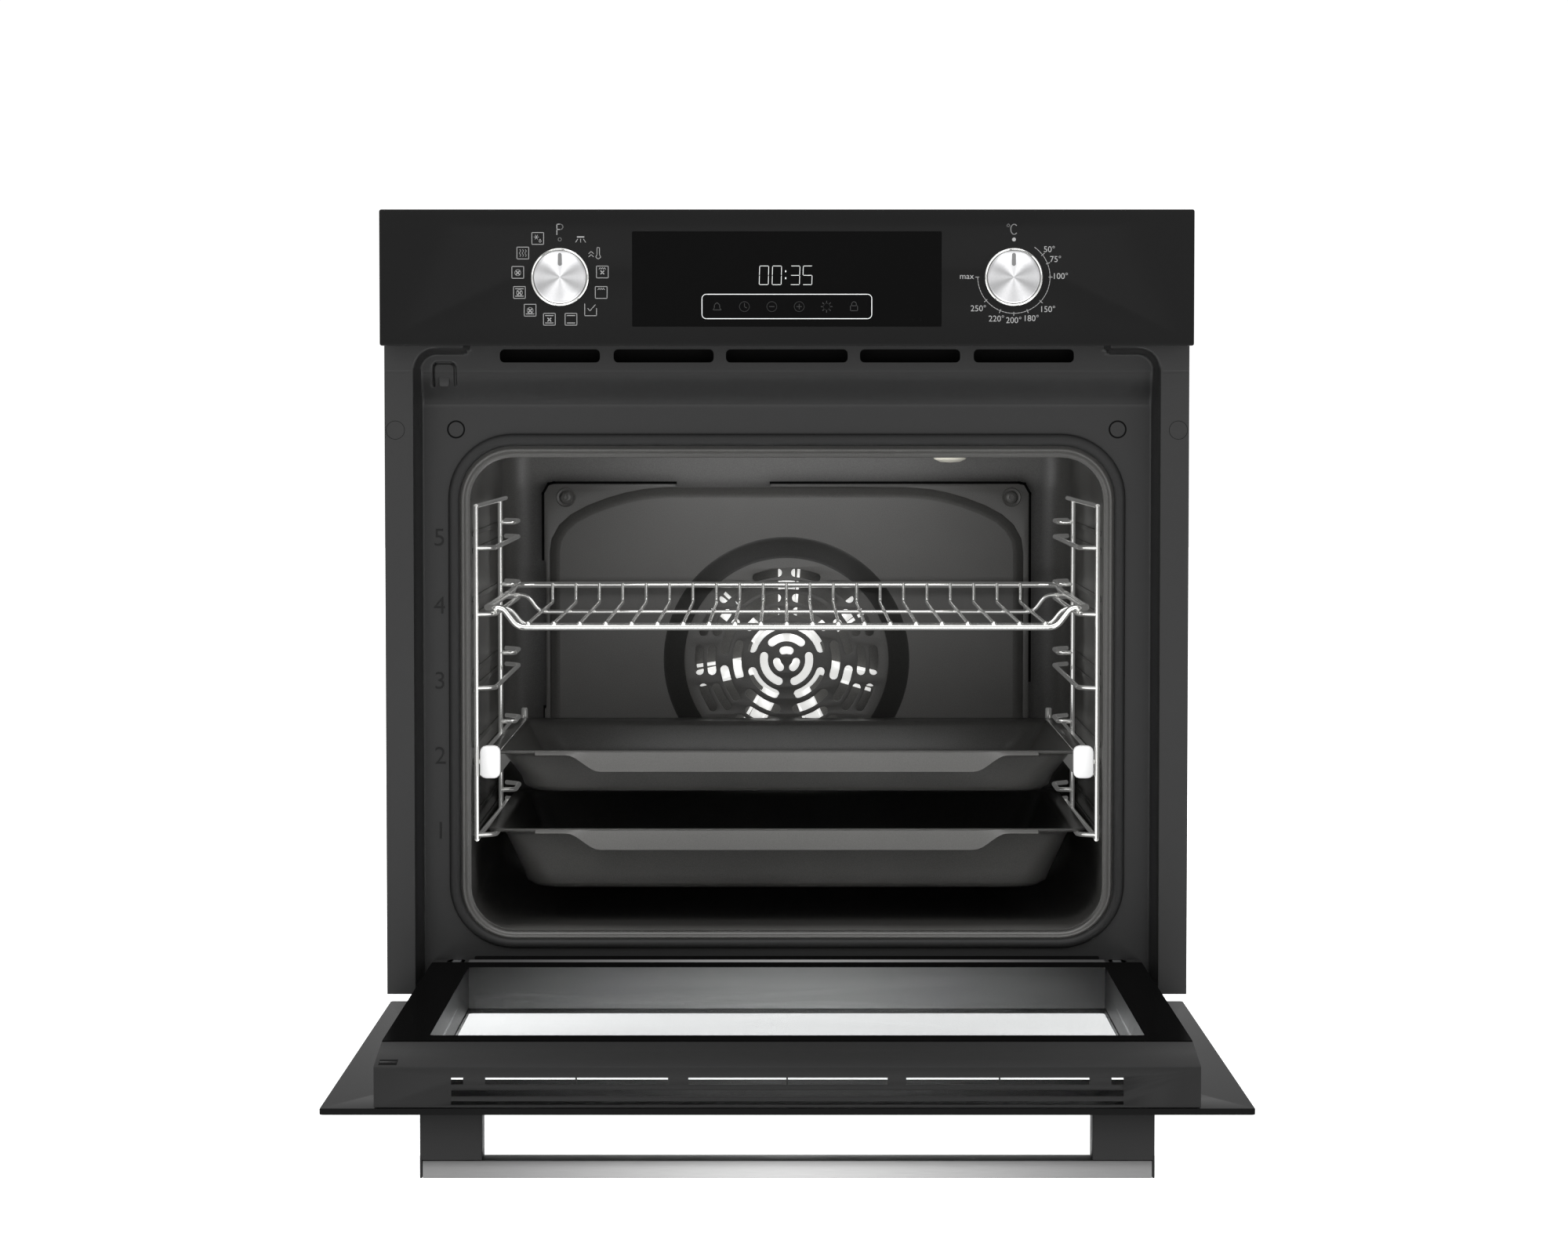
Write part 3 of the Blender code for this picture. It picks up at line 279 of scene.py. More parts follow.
    def mesh(self, name, finishes, door=False, sharp=35, tidy=True):
        mesh = bpy.data.meshes.new(name)
        put = (lambda p: in_frame(laid_open(p))) if door else in_frame
        mesh.from_pydata([put(v) for v in self.verts], [], self.faces)
        for finish in finishes:
            mesh.materials.append(finish)
        mesh.polygons.foreach_set("material_index", self.finish_of)
        work = bmesh.new()
        work.from_mesh(mesh)
        if tidy:
            bmesh.ops.remove_doubles(work, verts=work.verts, dist=2e-6)
            bmesh.ops.recalc_face_normals(work, faces=work.faces)
        work.to_mesh(mesh)
        work.free()
        mesh.polygons.foreach_set("use_smooth", [True] * len(mesh.polygons))
        mesh.set_sharp_from_angle(angle=radians(sharp))
        return mesh

    def piece(self, name, finishes, body, nodes=(), slot=None, **ways):
        return settle(name, self.mesh(name, finishes, **ways), body, nodes)


def solid(u, v, w, plane):
    """Outline point (u, v) at depth w, for an outline drawn in that plane."""
    return {"xz": (u, w, v), "xy": (u, v, w), "yz": (w, u, v)}[plane]


def settle(name, mesh, body, nodes=()):
    """Makes a mesh a finished piece that rides on a body and stands for CAD nodes."""
    piece = bpy.data.objects.new(name, mesh)
    bpy.context.collection.objects.link(piece)
    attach(piece, body)
    if nodes:
        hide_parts(*nodes)
    return piece


def cut_away(mesh, cutters):
    """The mesh less the closed cutter meshes."""
    holder = bpy.data.objects.new("blank", mesh)
    bpy.context.collection.objects.link(holder)
    tools = []
    for cutter in cutters:
        tool = bpy.data.objects.new("cutter", cutter)
        bpy.context.collection.objects.link(tool)
        modifier = holder.modifiers.new("cut", "BOOLEAN")
        modifier.object, modifier.solver = tool, "EXACT"
        tools.append(tool)
    bpy.context.view_layer.update()
    seen = holder.evaluated_get(bpy.context.evaluated_depsgraph_get())
    result = bpy.data.meshes.new_from_object(seen)
    for obj in [holder, *tools]:
        bpy.data.objects.remove(obj)
    return result


# ---- finishes ----

def new_finish(
    name, colour, roughness=0.4, vary=0.12, grain=600, rough_vary=0.08, bump=0.05, bump_depth=0.05,
    stretch=(1, 1, 1), metallic=0.0, specular=0.5, coat=0.0, anisotropic=0.0, transmission=0.0,
    ior=1.5, glow=0.0, cells=False,
):
    """A finish whose colour, roughness and surface vary over the piece's own coordinates."""
    finish = bpy.data.materials.new(name)
    finish.use_nodes = True
    nodes, links = finish.node_tree.nodes, finish.node_tree.links
    shader = nodes["Principled BSDF"]
    place = nodes.new("ShaderNodeTexCoord")
    mapping = nodes.new("ShaderNodeMapping")
    mapping.inputs["Scale"].default_value = stretch
    links.new(place.outputs["Object"], mapping.inputs["Vector"])
    fine = nodes.new("ShaderNodeTexVoronoi" if cells else "ShaderNodeTexNoise")
    fine.inputs["Scale"].default_value = grain
    links.new(mapping.outputs["Vector"], fine.inputs["Vector"])
    fine_out = fine.outputs["Color" if cells else "Fac"]
    broad = nodes.new("ShaderNodeTexNoise")
    broad.inputs["Scale"].default_value = 7
    broad.inputs["Detail"].default_value = 4
    links.new(place.outputs["Object"], broad.inputs["Vector"])
    blend = nodes.new("ShaderNodeMath")
    blend.operation = "MULTIPLY_ADD"
    blend.inputs[1].default_value = 0.6
    links.new(fine_out, blend.inputs[0])
    part = nodes.new("ShaderNodeMath")
    part.operation = "MULTIPLY"
    part.inputs[1].default_value = 0.4
    links.new(broad.outputs["Fac"], part.inputs[0])
    links.new(part.outputs[0], blend.inputs[2])
    ramp = nodes.new("ShaderNodeValToRGB")
    ramp.color_ramp.elements[0].position, ramp.color_ramp.elements[1].position = 0.3, 0.7
    for element, factor in zip(ramp.color_ramp.elements, (1 - vary, 1 + vary)):
        element.color = [min(1, c * factor) for c in colour[:3]] + [1]
    links.new(blend.outputs[0], ramp.inputs["Fac"])
    links.new(ramp.outputs["Color"], shader.inputs["Base Color"])
    rough = nodes.new("ShaderNodeMapRange")
    rough.inputs["To Min"].default_value = max(0.02, roughness - rough_vary)
    rough.inputs["To Max"].default_value = min(1, roughness + rough_vary)
    links.new(blend.outputs[0], rough.inputs["Value"])
    links.new(rough.outputs["Result"], shader.inputs["Roughness"])
    if bump:
        relief = nodes.new("ShaderNodeBump")
        relief.inputs["Strength"].default_value = bump
        relief.inputs["Distance"].default_value = bump_depth * MM
        links.new(fine_out, relief.inputs["Height"])
        links.new(relief.outputs["Normal"], shader.inputs["Normal"])
    shader.inputs["Metallic"].default_value = metallic
    shader.inputs["Specular IOR Level"].default_value = specular
    shader.inputs["Coat Weight"].default_value = coat
    shader.inputs["Coat Roughness"].default_value = 0.05
    shader.inputs["Coat IOR"].default_value = 1.1
    shader.inputs["Anisotropic"].default_value = anisotropic
    shader.inputs["Transmission Weight"].default_value = transmission
    shader.inputs["IOR"].default_value = ior
    # glow: the lamp, lit digits and floor give off light; on chrome wire, fan steel, white caps and print it is painted
    # light.
    if glow:
        shader.inputs["Emission Color"].default_value = (*colour[:3], 1)
        shader.inputs["Emission Strength"].default_value = glow
    return finish


def spun(finish, axis):
    """Turns a brushed finish's grain round the piece's middle, about the axis."""
    nodes, links = finish.node_tree.nodes, finish.node_tree.links
    grain = nodes.new("ShaderNodeTangent")
    grain.direction_type, grain.axis = "RADIAL", axis
    links.new(grain.outputs["Tangent"], nodes["Principled BSDF"].inputs["Tangent"])
    return finish


def painted_end_shade(finish, half, low):
    """Makes a finish's colour fall to low at x = ±half: painted shade, darker towards the ends of a long bar where the
    light falls off.
    """
    nodes, links = finish.node_tree.nodes, finish.node_tree.links
    shader = nodes["Principled BSDF"]
    colour = shader.inputs["Base Color"].links[0].from_socket
    place = nodes.new("ShaderNodeTexCoord")
    split = nodes.new("ShaderNodeSeparateXYZ")
    size = nodes.new("ShaderNodeMath")
    size.operation = "ABSOLUTE"
    fall = nodes.new("ShaderNodeMapRange")
    fall.interpolation_type = "SMOOTHSTEP"
    fall.inputs["From Max"].default_value = half
    fall.inputs["To Min"].default_value, fall.inputs["To Max"].default_value = 1, low
    scale = nodes.new("ShaderNodeVectorMath")
    scale.operation = "SCALE"
    links.new(place.outputs["Object"], split.inputs["Vector"])
    links.new(split.outputs["X"], size.inputs[0])
    links.new(size.outputs[0], fall.inputs["Value"])
    links.new(colour, scale.inputs[0])
    links.new(fall.outputs["Result"], scale.inputs["Scale"])
    links.new(scale.outputs["Vector"], shader.inputs["Base Color"])
    return finish


def painted_spun_highlights(finish, x, z, light, low):
    """Paints light and shade into spun metal's colour by the angle round its middle, at ±x and z: painted highlights
    above and below, painted shade at the sides.
    """
    broad_beats, broad_depth = 2, -0.5
    narrow_beats, narrow_depth = 6, 0.35
    reach = narrow_depth - broad_depth
    nodes, links = finish.node_tree.nodes, finish.node_tree.links
    shader = nodes["Principled BSDF"]
    colour = shader.inputs["Base Color"].links[0].from_socket

    def sum_of(operation, first, second=0.0):
        step = nodes.new("ShaderNodeMath")
        step.operation = operation
        for socket, value in zip(step.inputs, (first, second)):
            if isinstance(value, (int, float)):
                socket.default_value = value
            else:
                links.new(value, socket)
        return step.outputs[0]

    place = nodes.new("ShaderNodeTexCoord")
    split = nodes.new("ShaderNodeSeparateXYZ")
    links.new(place.outputs["Object"], split.inputs["Vector"])
    across = sum_of("SUBTRACT", sum_of("ABSOLUTE", split.outputs["X"]), x)
    angle = sum_of("ARCTAN2", sum_of("SUBTRACT", split.outputs["Z"], z), across)
    broad = sum_of("MULTIPLY", sum_of("COSINE", sum_of("MULTIPLY", angle, broad_beats)), broad_depth)
    narrow = sum_of("MULTIPLY", sum_of("COSINE", sum_of("MULTIPLY", angle, narrow_beats)), narrow_depth)
    shade = nodes.new("ShaderNodeMapRange")
    links.new(sum_of("ADD", broad, narrow), shade.inputs["Value"])
    shade.inputs["From Min"].default_value, shade.inputs["From Max"].default_value = -reach, reach
    shade.inputs["To Min"].default_value, shade.inputs["To Max"].default_value = low, light
    scale = nodes.new("ShaderNodeVectorMath")
    scale.operation = "SCALE"
    links.new(colour, scale.inputs[0])
    links.new(shade.outputs["Result"], scale.inputs["Scale"])
    links.new(scale.outputs["Vector"], shader.inputs["Base Color"])
    return finish


FINISH = {}


def mix_finishes(colours):
    """Every finish of the oven, by the name its pieces use."""
    enamel, cavity, chrome, steel = colours.enamel, colours.cavity, colours.chrome, colours.handle
    dark = (0.006, 0.006, 0.006)
    FINISH.update(
        enamel=new_finish("Black frame enamel", enamel, 0.42, grain=900, bump=0.08, specular=0.4),
        # Darker copy of the frame enamel for the slanted band: painted shade.
        strip=new_finish("Frame enamel painted slant shade", [c * 0.5 for c in enamel], 0.5, grain=900, specular=0.35),
        cavity=new_finish("Grey cavity enamel", cavity, 0.36, vary=0.3, grain=1400, bump=0.12),
        # Darker copy of the cavity enamel for the rolled mouth: painted shade.
        lip=new_finish("Cavity mouth painted shade", [c * 0.6 for c in cavity], 0.3, vary=0.2, grain=1400, specular=0.4),
        # Lighter enamel for the tray fronts than the tray's own: painted light.
        skirt=new_finish("Tray front painted light", [c * 0.75 for c in cavity], 0.4, vary=0.2, grain=1400),
        profile=new_finish("Door profile coating", (0.011,) * 3, 0.55, grain=1500, bump=0.1, specular=0.2),
        # Door foot: colour falls to 0.22 of itself at its ends, painted shade.
        foot=painted_end_shade(
            new_finish("Door foot coating", (0.32,) * 3, 0.5, grain=1500, bump=0.1, specular=0.3), 0.235, 0.22,
        ),
        cover=new_finish("Fan cover enamel", [c * 0.95 for c in cavity], 0.4, vary=0.3, grain=1600, bump=0.12),
        # Darker copy of the cover enamel for the dome's sloping ring: painted shade.
        dome=new_finish(
            "Fan dome slope painted shade", [c * 0.3 for c in cavity], 0.36, vary=0.3, grain=1600, bump=0.12, specular=0.3,
        ),
        tray=new_finish("Tray enamel", [c * 0.55 for c in cavity], 0.32, vary=0.35, grain=1500, bump=0.1),
        gasket=new_finish("Silicone seal", (0.012,) * 3, 0.6, grain=500, specular=0.3),
        # The chromed wire's glow is painted light.
        chrome=new_finish("Chromed wire", chrome, 0.13, vary=0.03, grain=300, metallic=1, bump=0.02, glow=0.1),
        # Fan steel glows: painted light.
        bright=new_finish("Bare fan steel", (0.92, 0.92, 0.9), 0.3, vary=0.04, grain=300, metallic=1, glow=0.75),
        zinc=new_finish(
            "Galvanised sheet", (0.40, 0.41, 0.42), 0.42, vary=0.07, grain=70, metallic=1, cells=True, bump=0.02,
        ),
        # Handle steel: colour falls to 0.4 of itself at the bar's ends, painted shade.
        steel=painted_end_shade(new_finish(
            "Brushed handle steel", steel, 0.34, vary=0.1, grain=60, stretch=(1, 60, 60), metallic=1,
            bump=0.08, anisotropic=0.6,
        ), 0.235, 0.4),
        # Knob colour: painted highlight wedges above and below the middle, painted shade at the sides.
        knob=painted_spun_highlights(new_finish(
            "Spun knob steel", (0.78, 0.78, 0.79), 0.35, vary=0.05, grain=900, metallic=1, bump=0.03,
        ), KNOB_X * MM, KNOB_Z * MM, 1.32, 0.5),
        line=new_finish("Knob line", (0.16,) * 3, 0.5, vary=0.04, specular=0.3),
        panel=new_finish("Panel glass", (0.0105,) * 3, 0.12, vary=0.05, grain=4, bump=0, specular=0.05),
        display=new_finish("Display window", (0.003,) * 3, 0.1, vary=0.05, grain=4, bump=0, specular=0.04),
        border=new_finish(
            "Printed glass border", [c * 1.4 for c in dark], 0.14, vary=0.1, grain=5, bump=0, ior=1.03,
        ),
        frit=new_finish(
            "Inner glass border", [c * 0.5 for c in dark], 0.2, vary=0.1, grain=5, bump=0, ior=1.008,
        ),
        glass=new_finish(
            "Clear glass", (0.985, 0.99, 0.99), 0.03, vary=0.01, grain=3, bump=0, transmission=1, ior=1.0,
            rough_vary=0.01, coat=0.3,
        ),
        plastic=new_finish("Black moulding", (0.010,) * 3, 0.5, grain=1800, bump=0.15, specular=0.2),
        # Near-black for gaps, grooves and recesses: painted shadow.
        black=new_finish("Painted recess shadow", (0.002,) * 3, 0.8, specular=0.1),
        # The white cap's glow is painted light.
        white=new_finish("White cap", (0.85,) * 3, 0.35, vary=0.02, glow=0.3),
        ceramic=new_finish("Ceramic", (0.75, 0.72, 0.66), 0.45, vary=0.04),
        lamp=new_finish("Frosted lamp glass", (0.85, 0.82, 0.72), 0.35, vary=0.03, glow=0.15),
        wool=new_finish("Mineral wool", (0.52, 0.45, 0.28), 0.95, vary=0.35, grain=250, bump=0.9, bump_depth=2),
        board=new_finish("Circuit board", (0.01, 0.12, 0.04), 0.4, vary=0.3, grain=160, cells=True),
        # The grey print's glow is painted light.
        print=new_finish("Grey print", (0.28,) * 3, 0.5, vary=0.04, specular=0.2, glow=0.15),
        faint=new_finish("Unlit key print", (0.035,) * 3, 0.5, vary=0.04, specular=0.2),
        digit=new_finish("Lit digit", (0.66, 0.67, 0.67), 0.5, vary=0.02, glow=0.4),
        heater=new_finish("Sheathed heater", (0.09, 0.085, 0.08), 0.45, vary=0.2, grain=500, metallic=0.6),
        copper=new_finish("Motor windings", (0.55, 0.22, 0.08), 0.4, vary=0.2, grain=900, metallic=1),
    )


# ---- node groups that repeat or follow a route ----

def new_tree(name, inputs):
    """An empty node group with a Geometry socket in and out, and named inputs."""
    tree = bpy.data.node_groups.new(name, "GeometryNodeTree")
    tree.interface.new_socket("Geometry", in_out="INPUT", socket_type="NodeSocketGeometry")
    for label, kind in inputs:
        tree.interface.new_socket(label, in_out="INPUT", socket_type=kind)
    tree.interface.new_socket("Geometry", in_out="OUTPUT", socket_type="NodeSocketGeometry")
    return tree, tree.nodes.new("NodeGroupInput")


def end_tree(tree, source, last):
    """Real geometry with the finish set, smooth, out of the group."""
    realize = tree.nodes.new("GeometryNodeRealizeInstances")
    painted = tree.nodes.new("GeometryNodeSetMaterial")
    out = tree.nodes.new("NodeGroupOutput")
    tree.links.new(last, realize.inputs["Geometry"])
    tree.links.new(realize.outputs["Geometry"], painted.inputs["Geometry"])
    tree.links.new(source.outputs["Finish"], painted.inputs["Material"])
    tree.links.new(painted.outputs["Geometry"], out.inputs["Geometry"])
    return tree


def wire_tree():
    """Round wire along the edges it is given."""
    tree, source = new_tree("Bent wire", (
        ("Radius", "NodeSocketFloat"), ("Sides", "NodeSocketInt"), ("Finish", "NodeSocketMaterial"),
    ))
    nodes, links = tree.nodes, tree.links
    to_curve = nodes.new("GeometryNodeMeshToCurve")
    section = nodes.new("GeometryNodeCurvePrimitiveCircle")
    sweep = nodes.new("GeometryNodeCurveToMesh")
    sweep.inputs["Fill Caps"].default_value = True
    links.new(source.outputs["Geometry"], to_curve.inputs["Mesh"])
    links.new(source.outputs["Radius"], section.inputs["Radius"])
    links.new(source.outputs["Sides"], section.inputs["Resolution"])
    links.new(to_curve.outputs["Curve"], sweep.inputs["Curve"])
    links.new(section.outputs["Curve"], sweep.inputs["Profile Curve"])
    return end_tree(tree, source, sweep.outputs["Mesh"])


def set_out_tree():
    """The same part at every point it is given, its y axis along the point's facing."""
    tree, source = new_tree("Set out parts", (("Part", "NodeSocketObject"), ("Finish", "NodeSocketMaterial")))
    nodes, links = tree.nodes, tree.links
    part = nodes.new("GeometryNodeObjectInfo")
    facing = nodes.new("GeometryNodeInputNamedAttribute")
    facing.data_type = "FLOAT_VECTOR"
    facing.inputs["Name"].default_value = "facing"
    align = nodes.new("FunctionNodeAlignRotationToVector")
    align.axis = "Y"
    lay = nodes.new("GeometryNodeInstanceOnPoints")
    links.new(source.outputs["Part"], part.inputs["Object"])
    links.new(source.outputs["Geometry"], lay.inputs["Points"])
    links.new(part.outputs["Geometry"], lay.inputs["Instance"])
    links.new(facing.outputs["Attribute"], align.inputs["Vector"])
    links.new(align.outputs["Rotation"], lay.inputs["Rotation"])
    return end_tree(tree, source, lay.outputs["Instances"])


def ring_tree():
    """Equal copies of what it is given, turned about the y axis through a hub."""
    tree, source = new_tree("Parts round a hub", (
        ("Count", "NodeSocketInt"), ("Hub", "NodeSocketVector"), ("Finish", "NodeSocketMaterial"),
    ))
    nodes, links = tree.nodes, tree.links
    to_hub = nodes.new("GeometryNodeTransform")
    away = nodes.new("ShaderNodeVectorMath")
    away.operation = "SCALE"
    away.inputs["Scale"].default_value = -1
    points = nodes.new("GeometryNodeMeshLine")
    points.inputs["Offset"].default_value = (0, 0, 0)
    step = nodes.new("ShaderNodeMath")
    step.operation = "DIVIDE"
    step.inputs[0].default_value = 2 * pi
    angle = nodes.new("ShaderNodeMath")
    angle.operation = "MULTIPLY"
    index = nodes.new("GeometryNodeInputIndex")
    turned = nodes.new("ShaderNodeCombineXYZ")
    lay = nodes.new("GeometryNodeInstanceOnPoints")
    links.new(source.outputs["Hub"], away.inputs[0])
    links.new(source.outputs["Geometry"], to_hub.inputs["Geometry"])
    links.new(away.outputs["Vector"], to_hub.inputs["Translation"])
    links.new(source.outputs["Count"], points.inputs["Count"])
    links.new(source.outputs["Hub"], points.inputs["Start Location"])
    links.new(source.outputs["Count"], step.inputs[1])
    links.new(index.outputs["Index"], angle.inputs[0])
    links.new(step.outputs["Value"], angle.inputs[1])
    links.new(angle.outputs["Value"], turned.inputs["Y"])
    links.new(points.outputs["Mesh"], lay.inputs["Points"])
    links.new(to_hub.outputs["Geometry"], lay.inputs["Instance"])
    links.new(turned.outputs["Vector"], lay.inputs["Rotation"])
    return end_tree(tree, source, lay.outputs["Instances"])


def run_tree(tree, mesh, **inputs):
    """The plain mesh a node group makes from a mesh and its named inputs."""
    holder = bpy.data.objects.new("stock", mesh)
    bpy.context.collection.objects.link(holder)
    modifier = holder.modifiers.new("build", "NODES")
    modifier.node_group = tree
    for socket in tree.interface.items_tree:
        if socket.in_out == "INPUT" and socket.name in inputs:
            modifier[socket.identifier] = inputs[socket.name]
    bpy.context.view_layer.update()
    seen = holder.evaluated_get(bpy.context.evaluated_depsgraph_get())
    result = bpy.data.meshes.new_from_object(seen)
    holder.modifiers.clear()
    bpy.data.objects.remove(holder)
    result.polygons.foreach_set("use_smooth", [True] * len(result.polygons))
    result.set_sharp_from_angle(angle=radians(50))
    return result


TREES = {}


def tree(name):
    if name not in TREES:
        TREES[name] = {"wire": wire_tree, "set_out": set_out_tree, "ring": ring_tree}[name]()
    return TREES[name]


def wires(routes, radius, finish, sides=12, shut=False):
    """One mesh of round wires along routes in millimetres."""
    mesh = bpy.data.meshes.new("routes")
    verts, edges = [], []
    for route in routes:
        start = len(verts)
        verts += [in_frame(p) for p in route]
        edges += [(start + n, start + n + 1) for n in range(len(route) - 1)]
        if shut:
            edges.append((start + len(route) - 1, start))
    mesh.from_pydata(verts, edges, [])
    return run_tree(tree("wire"), mesh, Radius=radius * MM, Sides=sides, Finish=finish)


def set_out(part, places, finish):
    """Copies of a Shape built about the origin, at (point, facing) places."""
    mesh = bpy.data.meshes.new("places")
    mesh.from_pydata([in_frame(p) for p, _ in places], [], [])
    facing = mesh.attributes.new("facing", "FLOAT_VECTOR", "POINT")
    for n, (_, direction) in enumerate(places):
        facing.data[n].vector = direction
    part_mesh = part.mesh("part", [finish])
    part_mesh.transform(Matrix.Translation((0, -PANEL_FRONT, 0)))
    holder = bpy.data.objects.new("part", part_mesh)
    bpy.context.collection.objects.link(holder)
    result = run_tree(tree("set_out"), mesh, Part=holder, Finish=finish)
    bpy.data.objects.remove(holder)
    return result


# ---- places shared by several pieces ----

MOUTH = ((-235.3, 235.3), (61.2, 413.5))
FRAME_HALF = 295.9
FAN_Z = 239.9
LEVELS = (131.5, 187.0, 242.5, 298.0, 348.0)
COVER_Y, DOME_Y = 447.8, 437.8
KNOB_X, KNOB_Z = 165.7, 545.7
CAVITY_HALF, FLOOR_Z, CEILING_Z, CAVITY_BACK = 239.3, 55.7, 431.5, 473.8


def mouth_ring(y, grow, grow_top=None, grow_bottom=None, steps=10):
    """Outline of the cavity mouth at y, grown outwards."""
    top = grow if grow_top is None else grow_top
    bottom = grow if grow_bottom is None else grow_bottom
    x, z = MOUTH
    outline = rounded((x[0] - grow, x[1] + grow), (z[0] - bottom, z[1] + top), 32 + grow, steps)
    return [(u, y, v) for u, v in outline]


def screw_head(radius=4.2, height=2.2):
    """Pan head with a cross recess, its top towards +y."""
    head = Shape()
    head.turn((
        (0.01, height), (radius * 0.45, height), (radius * 0.8, height * 0.8), (radius, height * 0.4),
        (radius, 0), (radius * 1.5, 0), (radius * 1.5, -0.4),
    ), (0, 0), sides=20)
    for u, v in ((radius * 0.55, radius * 0.14), (radius * 0.14, radius * 0.55)):
        head.slab([(-u, -v), (u, -v), (u, v), (-u, v)], height - 0.3, height + 0.06, 0.02)
    return head


def frame_setback(x, z):
    """Depth of the front frame's face behind the control panel's front, at (x, z)."""
    side = abs(x)
    deep = 45 - 11.5 * smooth_step((z - 451) / 27)
    lift = 491.9 + 30 * smooth_step((239 - side) / 16)
    corner_x, corner_z, bend = 272.5 - 14, lift - 14, 14
    if side > corner_x and z > corner_z:
        inside = bend - hypot(side - corner_x, z - corner_z)
    else:
        inside = min(272.5 - side, lift - z)
    flange = smooth_step((2.6 - inside) / 5.2)
    y = deep + (18 - deep) * flange
    groove = abs(hypot(max(0, abs(x + 253.2) - 4.5), max(0, z - 480.0)) - 3.6) if z > 466 else 9
    y += 1.5 * smooth_step(1 - groove / 1.2)
    if side > 277:
        y += 0.25 * smooth_step(1 - abs(z - 477) / 0.7)
    return y


class OvenPieceOperator:
    """Shared ways of the operators that make pieces."""

    bl_options = {"REGISTER"}

    @property
    def sizes(self):
        return bpy.context.scene.oven_sizes


class OVEN_OT_finishes(OvenPieceOperator, bpy.types.Operator):
    """Mix the oven's finishes."""

    bl_idname = "oven.finishes"
    bl_label = "Finishes"

    def execute(self, context):
        mix_finishes(context.scene.oven_colours)
        return {"FINISHED"}


def spread(start, stop, step):
    count = max(1, round((stop - start) / step))
    return [start + (stop - start) * n / count for n in range(count + 1)]


